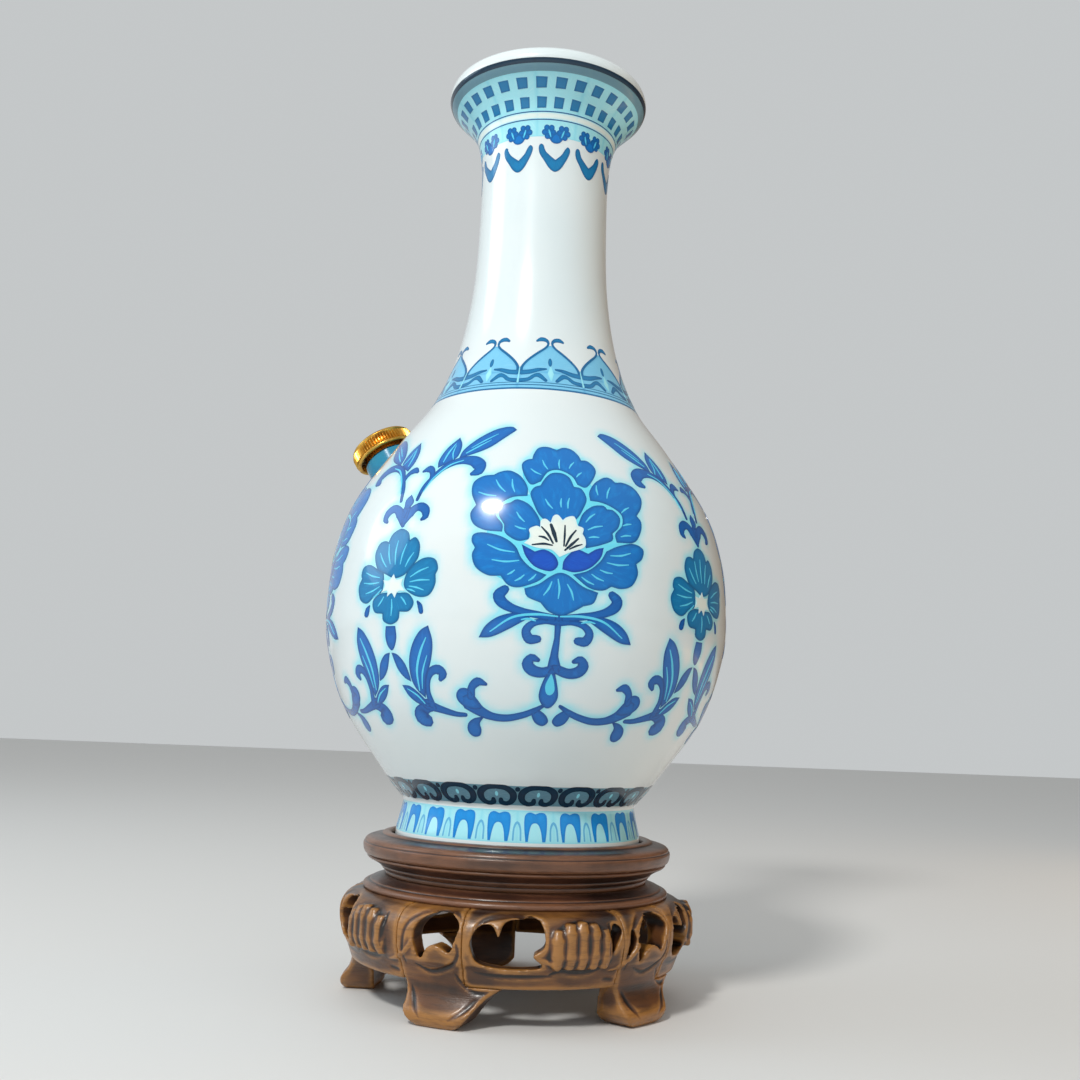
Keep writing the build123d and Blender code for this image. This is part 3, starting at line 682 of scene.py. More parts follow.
# %% Sprays over the smaller flower, and leaves under it
half_spray = [
    stroke(
        [(0.3, 87.4), (1.8, 90.6), (3.6, 92.3), (5.4, 92.5), (7.1, 91.3), (7.4, 89.4), (6.4, 88.5)],
        [1.2, 3.2, 2.6, 2.8, 2.8, 2.2, 1.0],
    ),
    stroke(
        [
            (3.1, 95.0), (4.1, 99.3), (6.3, 102.9), (8.6, 105.9), (12.0, 108.0), (15.4, 108.7),
            (18.8, 108.2), (21.0, 106.4), (21.0, 104.2), (19.4, 103.2),
        ],
        [1.2, 1.4, 1.8, 2.2, 2.6, 3.2, 4.0, 4.4, 3.6, 1.6],
    ),
    stroke(
        [(5.5, 101.4), (5.5, 103.6), (4.5, 105.4), (2.9, 106.1), (1.3, 105.4)], [1.2, 1.8, 2.2, 2.7, 1.2],
    ),
    outline(
        [
            (6.4, 106.2, 1), (5.4, 109.6), (6.4, 114.4), (9.6, 118.8, 1), (12.0, 115.2), (12.2, 110.4),
            (9.6, 108.0),
        ]
    ),
    outline(
        [
            (12.9, 109.6, 1), (13.6, 113.4), (17.6, 118.0), (23.4, 121.7), (29.0, 122.9), (31.4, 121.5, 1),
            (27.7, 118.2), (22.8, 113.8), (17.7, 111.2),
        ]
    ),
]
spray_veins = [
    stroke([(7.6, 108.4), (8.0, 112.2), (9.2, 116.0)], [0.3, 0.7, 0.3]),
    stroke([(11.0, 109.2), (9.8, 112.0), (9.6, 115.2)], [0.2, 0.5, 0.2]),
    stroke([(15.0, 111.6), (18.6, 114.2), (22.6, 117.0)], [0.4, 0.6, 0.2]),
    stroke([(16.2, 113.8), (20.0, 116.6), (24.6, 119.6)], [0.2, 0.5, 0.2]),
    stroke([(4.4, 97.6), (6.6, 102.4), (10.6, 106.8), (15.0, 108.6)], [0.2, 0.5, 0.6, 0.3]),
]
half_leaves = [
    outline(
        [(0.3, 50.4, 1), (2.4, 49.8), (4.6, 47.4), (5.8, 44.2), (6.1, 42.1, 1), (3.8, 43.4), (1.8, 46.0)]
    ),
    outline(
        [
            (13.0, 58.0, 1), (10.4, 56.5), (7.9, 53.0), (6.3, 48.4), (6.2, 43.4), (7.6, 39.9),
            (10.2, 37.4, 1), (11.2, 42.4), (13.4, 48.6), (14.1, 53.6),
        ]
    ),
    outline([(2.6, 41.1, 1), (5.6, 40.7), (9.2, 37.8), (11.4, 34.6, 1), (7.4, 35.6), (4.4, 37.9)]),
    stroke(
        [(12.0, 35.4), (11.3, 39.3), (11.8, 43.0), (13.4, 45.3), (15.4, 45.7), (16.5, 44.4), (15.8, 43.0)],
        [2.2, 1.6, 1.8, 2.4, 2.8, 2.8, 1.4],
    ),
    stroke([(10.2, 35.6), (14.0, 34.3), (19.1, 32.9), (22.3, 32.7)], [3.4, 2.4, 1.7, 1.3]),
    stroke([(12.4, 34.6), (9.8, 34.4), (7.6, 33.0), (7.2, 31.4), (8.8, 30.6)], [2.0, 3.4, 4.4, 5.0, 4.6]),
]
leaf_veins = [
    stroke([(8.6, 39.6), (8.6, 45.4), (10.2, 50.6), (12.2, 54.6)], [0.3, 0.7, 0.7, 0.3]),
    stroke([(9.6, 40.2), (10.4, 45.0), (12.2, 49.6)], [0.2, 0.5, 0.2]),
    stroke([(4.4, 40.0), (7.4, 38.2), (9.6, 35.8)], [0.2, 0.5, 0.3]),
]
side_middle = [
    outline([(0.4, 96.9, 1), (-1.1, 95.2), (-0.9, 93.0), (0.2, 91.9), (1.5, 92.9), (2.1, 94.6)]),
    stroke([(0.2, 92.0), (0.2, 87.0)], [3.0, 1.4]),
]
bead = [
    outline(
        [
            (-2.4, 57.9, 1), (1.0, 57.9, 1), (1.2, 54.8), (0.2, 51.9), (-0.9, 51.0), (-2.2, 52.3),
            (-2.8, 54.8),
        ]
    )
]
LEAF_SHIFT = -1.4  # the leaves hang from a point a little beside the flower's middle


def both_sides(shapes, shift=0.0):
    return [s + [shift, 0] for s in shapes] + [s * [-1, 1] + [shift, 0] for s in shapes]


side_group = both_sides(half_spray) + side_middle + bead + both_sides(half_leaves, LEAF_SHIFT) + commas
side_group = [s + [SIDE_FLOWER, 0] for s in side_group]
side_pale = [
    s + [SIDE_FLOWER, 0]
    for s in side_veins + both_sides(spray_veins) + both_sides(leaf_veins, LEAF_SHIFT)
]
print("large flower", len(petals) + len(branch), "shapes; smaller flower", len(side_group) + 4, "shapes")

# %% [markdown]
# ## The bands
#
# Five bands run round the vase: cloud heads at the root of the neck, florets over hanging leaves and two
# rows of squares under the lip, a row of curled hearts low on the body, and arches on the foot. Each is
# one motif repeated round the axis, measured at the wall's own radius there.

# %% Cloud heads at the root of the neck
NECK_REACH, NECK_COUNT = 35.5, 10
neck_up = wall_at(137.0)
half_cloud = [
    stroke(
        [
            (-10.6, 8.2), (-10.3, 10.7), (-8.4, 13.2), (-5.3, 15.7), (-2.2, 17.8), (-0.9, 19.2),
            (-1.0, 20.4), (-2.2, 21.1), (-3.9, 21.2), (-5.4, 20.6),
        ],
        [1.3, 1.0, 0.9, 0.9, 0.8, 0.9, 1.2, 1.4, 1.5, 0.8],
    ),
    stroke([(-10.4, 8.2), (-7.5, 8.5), (-4.5, 9.4), (-1.7, 9.8)], [1.9, 1.8, 1.4, 0.7]),
    stroke(
        [(-10.4, 5.0), (-7.8, 5.4), (-5.9, 6.9), (-4.3, 7.2), (-2.9, 6.1), (-1.9, 5.1)],
        [1.5, 1.5, 1.3, 1.8, 1.4, 1.2],
    ),
]
clouds = [s + [0, neck_up] for s in half_cloud + [s * [-1, 1] for s in half_cloud]]
clouds.append(oval(-0.2, 12.5 + neck_up, 0.75, 1.6))
cloud_wash = [
    outline(
        moved(
            [
                (-10.7, 8.4), (-9.9, 11.2), (-7.6, 13.7), (-4.4, 16.0), (-1.6, 18.0), (0.0, 19.0),
                (1.6, 18.0), (4.4, 16.0), (7.6, 13.7), (9.9, 11.2), (10.7, 8.4, 1), (-10.7, 8.4, 1),
            ],
            0, neck_up,
        )
    )
]
cloud_gaps = [
    stroke([(0.0, neck_up + 10.6), (-0.1, neck_up + 8.0), (0.0, neck_up + 5.4)], [0.5, 2.2, 0.6]),
    stroke([(-11.15, neck_up + 10.4), (-11.15, neck_up + 4.2)], [0.3, 0.7]),
]


def band(count, reach, low, high):
    """One repeat's share of an unbroken ring, a little too wide so that the shares meet."""
    half = math.pi * reach / count + 0.02
    corners = np.array([(-half, low), (half, low), (half, high), (-half, high), (-half, low)])
    sides = [
        np.linspace(a, b, max(2, int(np.linalg.norm(b - a))), endpoint=False)
        for a, b in zip(corners, corners[1:])
    ]
    return np.vstack(sides)


# %% Florets, hanging leaves and squares under the lip
MOUTH_REACH, LEAF_COUNT = 23.5, 11
leaf_up = wall_at(205.0)
hanging_leaf = outline(
    moved(
        [
            (-6.0, 18.4), (-5.6, 16.2), (-3.9, 13.8), (-2.0, 11.3), (0.0, 10.2), (2.0, 11.3), (3.9, 14.2),
            (5.1, 16.8), (5.3, 18.4), (4.4, 19.2), (3.4, 18.2), (2.2, 16.2), (0.1, 14.3, 1), (-1.4, 15.3),
            (-3.4, 17.0), (-4.4, 19.2), (-5.4, 19.5),
        ],
        0, leaf_up,
    ),
    0.6,
)
# a floret is two round heads of small petals, joined at a point below
floret = [oval(0.0, leaf_up + 21.7, 2.3, 1.9)]
for side in (-1, 1):
    middle = np.array([2.55 * side, leaf_up + 23.6])
    floret.append(oval(*middle, 1.5, 1.6))
    for turn in np.radians(np.arange(-70, 251, 64)):
        spot = middle + 1.55 * np.array([side * math.cos(turn), math.sin(turn)])
        floret.append(oval(*spot, 1.0, 1.0))
floret_veins = [vein((x, leaf_up + 22.0), (1.4 * x, leaf_up + 24.2), 0.6, 0.0) for x in (-1.9, 1.9)]
SQUARE_REACH, SQUARE_COUNT = 27.0, 28
squares = [
    outline([(-1.7, up - 1.75, 1), (1.6, up - 1.7, 1), (1.8, up + 1.7, 1), (-1.6, up + 1.85, 1)], 0.8)
    for up in (leaf_up + 32.9, leaf_up + 39.1)
]

# %% Curled hearts low on the body, and arches on the foot
HEART_REACH, HEART_COUNT = 40.0, 21
heart_up = wall_at(0.0)
half_heart = [
    stroke(
        [
            (0.0, 22.3), (-2.8, 21.9), (-4.7, 20.2), (-5.2, 18.0), (-4.6, 16.0), (-3.0, 14.9), (-1.4, 15.4),
            (-1.2, 16.9),
        ],
        [1.8, 2.2, 2.3, 2.2, 2.0, 1.9, 2.0, 1.3],
    )
]
# sized to leave a gap between hearts
curl = [(s - [0, 14.2]) * [0.93, 0.86] + [0, 14.4] for s in half_heart]
hearts = [s + [0, heart_up] for s in curl + [s * [-1, 1] for s in curl]]
hearts.append(oval(-math.pi * HEART_REACH / HEART_COUNT, heart_up + 20.6, 0.7, 0.9))
heart_spot = [oval(0.0, heart_up + 18.7, 0.45, 0.9)]
FOOT_REACH, ARCH_COUNT = 37.5, 22
arches = [
    outline(
        moved(
            [
                (-2.9, 4.2, 1), (-3.3, 8.0), (-3.2, 11.4), (-1.8, 12.5), (-0.1, 12.0, 1), (1.6, 12.5),
                (3.2, 11.7), (3.3, 8.0), (2.8, 4.2, 1), (1.9, 4.2, 1), (1.5, 7.2), (0.8, 9.0), (-0.2, 9.5),
                (-1.2, 9.0), (-1.8, 7.2), (-2.2, 4.2, 1),
            ],
            0, heart_up - 0.4,
        ),
        0.6,
    )
]
HALF_ARCH = math.pi * FOOT_REACH / ARCH_COUNT
thin_arches = [
    stroke(
        [
            (HALF_ARCH - 1.1, heart_up + 4.2), (HALF_ARCH - 0.9, heart_up + 7.6),
            (HALF_ARCH, heart_up + 9.2), (HALF_ARCH + 0.9, heart_up + 7.6),
            (HALF_ARCH + 1.1, heart_up + 4.2),
        ],
        [0.5, 0.5, 0.7, 0.5, 0.5],
    )
]

# %% [markdown]
# ## Glaze, paint and metal
#
# Every surface of the vase is under one glossy glaze, so the paints share the white's sheen and its slow
# ripple. The paint itself pools in the middle of a stroke and dries darker at its edge, and the brush
# leaves streaks that run out from a petal's root. Both are read from what the films carry on their points.


# %% Colours and shader helpers
def colour(red, green, blue):
    """A linear colour from the usual 0 to 255 values."""
    return tuple(
        ((v / 255 + 0.055) / 1.055) ** 2.4 if v > 10 else v / 255 / 12.92
        for v in (red, green, blue)
    ) + (1.0,)


def new_group(name, inputs, outputs):
    tree = bpy.data.node_groups.new(name, "ShaderNodeTree")
    for label, kind, value in inputs:
        tree.interface.new_socket(label, in_out="INPUT", socket_type=kind).default_value = value
    for label, kind in outputs:
        tree.interface.new_socket(label, in_out="OUTPUT", socket_type=kind)
    return tree, tree.nodes.new("NodeGroupInput").outputs, tree.nodes.new("NodeGroupOutput").inputs


def mix_colours(tree, amount, a, b, blend="MIX"):
    made = tree.nodes.new("ShaderNodeMix")
    made.data_type = "RGBA"
    made.blend_type = blend
    made.clamp_factor = True
    for socket, value in ((made.inputs[0], amount), (made.inputs[6], a), (made.inputs[7], b)):
        if isinstance(value, bpy.types.NodeSocket):
            tree.links.new(value, socket)
        else:
            socket.default_value = value
    return made.outputs[2]


def noise(tree, vector, scale, detail=2.0, roughness=0.5):
    return add_node(
        tree, "ShaderNodeTexNoise", None, Vector=vector, Scale=scale, Detail=detail, Roughness=roughness,
    ).outputs[0]


def stretch(tree, vector, scale):
    return add_node(tree, "ShaderNodeVectorMath", {"operation": "MULTIPLY"}, _0=vector, _1=scale).outputs[0]


def ramp(tree, value, low, high):
    """0 below low, 1 above high."""
    return add_node(tree, "ShaderNodeMapRange", {"clamp": True}, _0=value, _1=low, _2=high).outputs[0]


def new_material(name, **values):
    """A material with its Principled shader, and plain values on the shader's own sockets."""
    made = bpy.data.materials.new(name)
    made.use_nodes = True
    shader = made.node_tree.nodes["Principled BSDF"]
    for key, value in values.items():
        shader.inputs[key.replace("_", " ")].default_value = value
    return made, made.node_tree, shader


def place_group(tree, group, **values):
    made = tree.nodes.new("ShaderNodeGroup")
    made.node_tree = group
    for key, value in values.items():
        made.inputs[key.replace("_", " ")].default_value = value
    return made.outputs


def object_spot(tree):
    return add_node(tree, "ShaderNodeTexCoord").outputs["Object"]


# %% Shared effects: the glaze's ripple and the brush's shade
ripple, ripple_in, ripple_out = new_group(
    "glaze_ripple", [("Depth", "NodeSocketFloat", 0.1)], [("Normal", "NodeSocketVector")]
)
slow = noise(ripple, object_spot(ripple), 38.0, 2.0)
fine = noise(ripple, object_spot(ripple), 420.0, 2.0)
height = math_node(ripple, "ADD", slow, math_node(ripple, "MULTIPLY", fine, 0.05))
bump = add_node(ripple, "ShaderNodeBump", None, Strength=ripple_in[0], Distance=0.0012, Height=height)
ripple.links.new(bump.outputs[0], ripple_out[0])

brushed, brushed_in, brushed_out = new_group(
    "brush_shade",
    [(label, "NodeSocketColor", (0, 0, 0, 1)) for label in ("Edge", "Middle", "Light")],
    [("Color", "NodeSocketColor")],
)
depth = add_node(brushed, "ShaderNodeAttribute", {"attribute_name": "depth"}).outputs["Fac"]
strokes = add_node(brushed, "ShaderNodeAttribute", {"attribute_name": "brush"}).outputs["Vector"]
streak = noise(brushed, stretch(brushed, strokes, (9.0, 5.0, 1.0)), 1.6, 3.0, 0.6)
cloudy = noise(brushed, object_spot(brushed), 130.0, 2.0)
pool = ramp(
    brushed, math_node(brushed, "ADD", depth, math_node(brushed, "MULTIPLY", cloudy, 0.35)), 0.12, 0.85,
)
body_colour = mix_colours(brushed, pool, brushed_in["Edge"], brushed_in["Middle"])
light = math_node(brushed, "MULTIPLY", ramp(brushed, streak, 0.50, 0.78), ramp(brushed, depth, 0.2, 0.8))
brushed.links.new(mix_colours(brushed, light, body_colour, brushed_in["Light"]), brushed_out[0])


# %% White glaze and the paints
GLOSS = {"Roughness": 0.17, "Coat_Weight": 0.7, "Coat_Roughness": 0.03, "IOR": 1.5}
white_glaze, tree, shader = new_material("white_glaze", **GLOSS)
bloom = add_node(tree, "ShaderNodeAttribute", {"attribute_name": "bloom"}).outputs["Fac"]
tone = ramp(tree, noise(tree, object_spot(tree), 22.0), 0.35, 0.7)
ground = mix_colours(tree, tone, colour(224, 232, 233), colour(217, 229, 232))
tree.links.new(mix_colours(tree, bloom, ground, colour(150, 226, 240)), shader.inputs["Base Color"])
tree.links.new(place_group(tree, ripple, Depth=0.05)[0], shader.inputs["Normal"])


def paint(name, edge, middle, light_colour):
    """A paint under the glaze."""
    made, tree, shader = new_material(name, **GLOSS | {"IOR": 1.4, "Coat_Weight": 0.45})
    shade = place_group(
        tree, brushed, Edge=colour(*edge), Middle=colour(*middle), Light=colour(*light_colour),
    )
    tree.links.new(shade[0], shader.inputs["Base Color"])
    tree.links.new(place_group(tree, ripple, Depth=0.05)[0], shader.inputs["Normal"])
    return made


blue_paint = paint("petal_blue", (1, 84, 146), (1, 112, 192), (8, 134, 210))
dark_paint = paint("dark_blue", (2, 62, 146), (2, 80, 192), (10, 96, 204))
stem_paint = paint("stem_blue", (1, 68, 138), (2, 100, 182), (18, 122, 196))
teal_paint = paint("side_flower_blue", (2, 88, 138), (3, 118, 174), (16, 138, 190))
slate_paint = paint("slate_blue", (14, 42, 62), (20, 52, 74), (36, 72, 96))
wash_paint = paint("pale_wash", (92, 172, 216), (116, 192, 228), (136, 204, 234))
mist_paint = paint("mist_wash", (142, 218, 234), (160, 226, 238), (176, 232, 240))
grey_wash = paint("grey_wash", (104, 146, 160), (96, 138, 156), (126, 164, 178))
pale_line = paint("pale_line", (86, 204, 236), (104, 216, 240), (120, 224, 242))
cream_paint = paint("cream_white", (206, 234, 238), (228, 238, 232), (234, 242, 236))
neck_paint = paint("neck_blue", (8, 98, 150), (16, 122, 176), (34, 138, 190))
foot_paint = paint("foot_blue", (4, 124, 204), (10, 142, 222), (30, 160, 230))

# %% Films on the vase, in the order in which they were painted
LIFT = {"wash": 0.03, "ground": 0.05, "blue": 0.08, "dark": 0.11, "line": 0.14, "white": 0.17}


def rings(band_place, *spans):
    """Unbroken rings from one height to another, over the band's own start."""
    reach, count, up = band_place
    return [band(count, reach, up + low, up + high) for low, high in spans]


BODY = (FLOWER_REACH, FLOWER_COUNT, 0.0)
NECK = (NECK_REACH, NECK_COUNT, neck_up)
MOUTH = (MOUTH_REACH, LEAF_COUNT, leaf_up)
SQUARES = (SQUARE_REACH, SQUARE_COUNT, leaf_up)
HEARTS = (HEART_REACH, HEART_COUNT, heart_up)
ARCHES = (FOOT_REACH, ARCH_COUNT, heart_up)
flower_root = (0.0, 78.0)
side_root = (SIDE_FLOWER, 69.0)
side_flower = [p + [SIDE_FLOWER, 0] for p in side_petals]
films = [  # place on the vase, name, shapes, root of the brush strokes, layer, paint
    (BODY, "flower_ground", [flower_ground], flower_root, "ground", pale_line),
    (BODY, "flower_petals", petals, flower_root, "blue", blue_paint),
    (BODY, "flower_dark_petals", dark_petals, flower_root, "blue", dark_paint),
    (BODY, "flower_branch", branch, None, "blue", stem_paint),
    (BODY, "flower_stamens", [stamens], flower_root, "line", cream_paint),
    (BODY, "stamen_strokes", stamen_strokes, None, "white", slate_paint),
    (BODY, "flower_veins", flower_veins + branch_veins, None, "dark", pale_line),
    (BODY, "side_flower", side_flower, side_root, "blue", teal_paint),
    (BODY, "side_star", [side_star + [SIDE_FLOWER, 0]], None, "line", cream_paint),
    (BODY, "side_sprays", side_group, None, "ground", stem_paint),
    (BODY, "side_veins", side_pale, None, "dark", pale_line),
    (NECK, "neck_ring_wash", rings(NECK, (1.2, 8.8)), None, "wash", wash_paint),
    (NECK, "cloud_wash", cloud_wash, None, "ground", wash_paint),
    (NECK, "cloud_heads", clouds, None, "blue", neck_paint),
    (NECK, "cloud_gaps", cloud_gaps, None, "dark", mist_paint),
    (NECK, "neck_rings", rings(NECK, (1.2, 1.9), (2.9, 3.3), (4.0, 4.3)), None, "ground", neck_paint),
    (MOUTH, "mouth_wash", rings(MOUTH, (22.0, 43.0)), None, "wash", mist_paint),
    (MOUTH, "hanging_leaves", [hanging_leaf], None, "blue", teal_paint),
    (MOUTH, "florets", floret, (0.0, leaf_up + 18.0), "blue", blue_paint),
    (MOUTH, "floret_veins", floret_veins, None, "line", pale_line),
    (MOUTH, "mouth_rings", rings(MOUTH, (27.4, 27.7), (29.9, 30.2)), None, "blue", stem_paint),
    (MOUTH, "mouth_pale_ring", rings(MOUTH, (27.9, 29.7)), None, "ground", cream_paint),
    (MOUTH, "lip_grey_band", rings(MOUTH, (42.6, 45.2)), None, "ground", grey_wash),
    # a dark slate ring round the groove between the lip and its flare
    (MOUTH, "lip_dark_line", rings(MOUTH, (45.2, 46.8)), None, "blue", slate_paint),
    (SQUARES, "lip_squares", squares, None, "blue", neck_paint),
    (HEARTS, "heart_wash", rings(HEARTS, (14.4, 21.8)), None, "wash", grey_wash),
    (HEARTS, "curled_hearts", hearts, None, "blue", slate_paint),
    (HEARTS, "heart_spots", heart_spot, None, "blue", mist_paint),
    (ARCHES, "foot_wash", rings(ARCHES, (3.4, 12.6)), None, "wash", mist_paint),
    (ARCHES, "foot_arches", arches, None, "blue", foot_paint),
    (ARCHES, "foot_thin_arches", thin_arches, None, "ground", wash_paint),
]
for (reach, count, _), name, shapes, root, layer, material in films:
    film(name, [(shape, root) for shape in shapes], LIFT[layer], reach, count, material)

# %% [markdown]
# ## The wall of the vase
#
# The wall is turned once from one closed line: under the foot, up the outside, over the lip and down the
# inside. Round the painted shapes cobalt ran into the glaze. That bloom is worked out on a sheet of small
# cells as wide as the wall: the outlines are filled in, blurred a little, and read back at each vertex.

# %% Where the cobalt ran
CELLS, CELL = 804, 0.5
BLOOM_TOP = 180.0
sheet_up = np.arange(0, BLOOM_TOP, CELL)
quarter = CELLS // FLOWER_COUNT
painted_cells = np.zeros((len(sheet_up), CELLS))
for polygon in bloom_shapes:
    low, high = polygon.min(0), polygon.max(0)
    first, last = int(math.floor(low[0] / math.tau * CELLS)), int(math.ceil(high[0] / math.tau * CELLS))
    rows = np.nonzero((sheet_up >= low[1] - CELL) & (sheet_up <= high[1] + CELL))[0]
    columns = np.arange(first, last + 1)
    gx, gy = np.meshgrid((columns + 0.5) / CELLS * math.tau, sheet_up[rows])
    hit = inside(polygon, np.stack([gx.ravel(), gy.ravel()], 1)).reshape(gx.shape)
    for k in range(FLOWER_COUNT):
        painted_cells[np.ix_(rows, (columns + k * quarter) % CELLS)] += hit
painted_cells = np.minimum(painted_cells, 1)
for _ in range(3):
    for axis in (0, 1):
        painted_cells = sum(np.roll(painted_cells, k, axis) for k in (-2, -1, 0, 1, 2)) / 5
print("painted share of the wall", round(float(painted_cells.mean()), 2))

# %% Turning the wall
WALL_SEGMENTS = 320
wall_profile = [
    *smooth(UNDER, 2.0)[:-1], *foot_line[:-1], *smooth(OUTSIDE, 1.4)[:-1], *smooth(LIP, 0.5)[:-1],
    *smooth(INSIDE, 3.5),
]
wall_profile = [(max(r, 0.0), z + SEAT) for r, z in wall_profile]
body = turned_piece("vase_wall", wall_profile, WALL_SEGMENTS, white_glaze)
where = np.empty(len(body.data.vertices) * 3, np.float32)
body.data.vertices.foreach_get("co", where)
where = where.reshape(-1, 3) / MM
table = np.linspace(0, BLOOM_TOP - 1, 900)
table_r, table_z, _, _ = on_wall(table)
up = np.interp(where[:, 2], table_z, table)
outer = np.abs(np.hypot(where[:, 0], where[:, 1]) - np.interp(where[:, 2], table_z, table_r)) < 0.3
columns = (np.arctan2(where[:, 0], -where[:, 1]) / math.tau * CELLS).astype(int) % CELLS
amount = painted_cells[np.clip((up / CELL).astype(int), 0, len(sheet_up) - 1), columns]
amount = np.where(outer & (where[:, 2] > table_z[0]), np.clip(amount * 2.2, 0, 1), 0)
body.data.attributes.new("bloom", "FLOAT", "POINT").data.foreach_set("value", amount.astype(np.float32))
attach(body, "vase")
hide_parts("vase_body")
print("wall", len(body.data.polygons), "faces")

# %% [markdown]
# ## Spout, ferrule and screw cap
#
# The spout keeps its CAD shape under a turquoise glaze. The cap is gilt brass: a plain shell turned on the
# spout's own axis, with knurls repeated round it, so that fingers can grip it. It is built upright, in the
# same two trees, and then laid along the spout.

# %% Where the spout's axis runs
SPOUT_TURN, SPOUT_RISE = math.radians(-120), math.radians(57)
SPOUT_REACH, SPOUT_HEIGHT = 48.9, 118.4  # where the axis meets the wall, from the vase's axis and its foot
sideways = Vector((math.sin(SPOUT_TURN), -math.cos(SPOUT_TURN), 0))
spout_foot = (sideways * SPOUT_REACH + Vector((0, 0, SEAT + SPOUT_HEIGHT))) * MM
spout_way = sideways * math.cos(SPOUT_RISE) + Vector((0, 0, math.sin(SPOUT_RISE)))
along_spout = Matrix.Translation(spout_foot) @ spout_way.to_track_quat("Z", "Y").to_matrix().to_4x4()

# %% Metal, turquoise glaze, cork and felt
def link_colour(tree, shader, amount, a, b):
    tree.links.new(mix_colours(tree, amount, colour(*a), colour(*b)), shader.inputs["Base Color"])


def link_bump(tree, target, strength, distance, height):
    made = add_node(tree, "ShaderNodeBump", None, Strength=strength, Distance=distance, Height=height)
    tree.links.new(made.outputs[0], target)


def between(tree, value, low, high):
    """A value from 0 to 1 spread between two others."""
    return add_node(tree, "ShaderNodeMapRange", None, _0=value, _3=low, _4=high).outputs[0]


gilt, tree, shader = new_material("gilt_brass", Metallic=1.0, Roughness=0.24)
spot_noise = noise(tree, object_spot(tree), 260.0, 3.0, 0.6)
tarnish = ramp(tree, spot_noise, 0.46, 0.72)
link_colour(tree, shader, tarnish, (226, 178, 84), (160, 112, 44))
tree.links.new(between(tree, spot_noise, 0.18, 0.42), shader.inputs["Roughness"])
dull_brass, tree, shader = new_material("dull_brass", Metallic=1.0, Roughness=0.45)
scratch = noise(tree, object_spot(tree), 900.0, 2.0)
link_colour(tree, shader, scratch, (176, 138, 66), (112, 82, 36))
turquoise, tree, shader = new_material("turquoise_glaze", **GLOSS)
pooled = ramp(tree, noise(tree, object_spot(tree), 70.0, 3.0), 0.35, 0.68)
link_colour(tree, shader, pooled, (28, 150, 178), (16, 118, 158))
tree.links.new(place_group(tree, ripple, Depth=0.08)[0], shader.inputs["Normal"])
cork, tree, shader = new_material("cork", Roughness=0.85)
grain = noise(tree, object_spot(tree), 1400.0, 3.0, 0.7)
link_colour(tree, shader, ramp(tree, grain, 0.4, 0.65), (156, 112, 70), (92, 60, 36))
link_bump(tree, shader.inputs["Normal"], 0.3, 0.0003, grain)
felt, tree, shader = new_material("felt", Roughness=0.95, Sheen_Weight=0.4, Sheen_Roughness=0.5)
fibre = noise(tree, object_spot(tree), 2600.0, 2.0, 0.7)
link_colour(tree, shader, fibre, (30, 62, 40), (52, 84, 56))
link_bump(tree, shader.inputs["Normal"], 0.5, 0.0003, fibre)


def dress(node, material):
    """Gives a CAD node that keeps its shape a better material."""
    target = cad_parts[node].data
    target.materials.clear()
    target.materials.append(material)


for node, material in (
    ("side_spout", turquoise), ("spout_ferrule", gilt), ("cap_liner", cork), ("seat_felt", felt),
    ("stand_screws", dull_brass),
):
    dress(node, material)

# %% Cap shell and knurls
CAP_TOP = 16.3  # along the spout's axis, from the wall
cap_line = [
    (0, 14.8), (9.2, 14.8), (9.6, 14.4), (9.6, 11.0), (9.9, 10.6), (10.6, 10.6), (11.0, 10.9), (11.0, 11.3),
    (10.6, 11.6), (10.6, 14.9), (10.9, 15.1), (10.9, 15.5), (10.5, 16.0), (9.8, CAP_TOP),
    (6.6, CAP_TOP + 0.28), (3.0, CAP_TOP + 0.44), (0, CAP_TOP + 0.48),
]
cap = turned_piece("cap_shell", cap_line, 96, gilt)
knurl_mesh = bpy.data.meshes.new("knurl")
knurl = put("knurl", knurl_mesh)
KNURLS = 64
half = math.pi * 11.1 / KNURLS * 0.8
ROOT, CREST = 10.5, 11.3  # a knurl's radius at its sides and along its top
knurl_rows = [(11.5, ROOT), (11.9, CREST), (14.6, CREST), (15.0, ROOT)]
knurl_mesh.from_pydata(
    [Vector((x, -r, z)) * MM for z, top in knurl_rows for x, r in ((-half, ROOT), (0, top), (half, ROOT))],
    [],
    [(3 * i + j, 3 * i + j + 1, 3 * i + j + 4, 3 * i + j + 3) for i in range(3) for j in range(2)]
    + [(3 * i, 3 * i + 3, 3 * i + 5, 3 * i + 2) for i in range(3)] + [(0, 2, 1), (9, 10, 11)],
)
run_tree(knurl, ring_tree, Count=KNURLS, Material=gilt)
shape = bmesh.new()
shape.from_mesh(cap.data)
shape.from_mesh(knurl.data)
bmesh.ops.recalc_face_normals(shape, faces=shape.faces)
shape.to_mesh(cap.data)
shape.free()
bpy.data.objects.remove(knurl)
cap.data.transform(along_spout)
cap.data.update()
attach(cap, "cap")
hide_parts("spout_cap")
print("cap", len(cap.data.polygons), "faces")
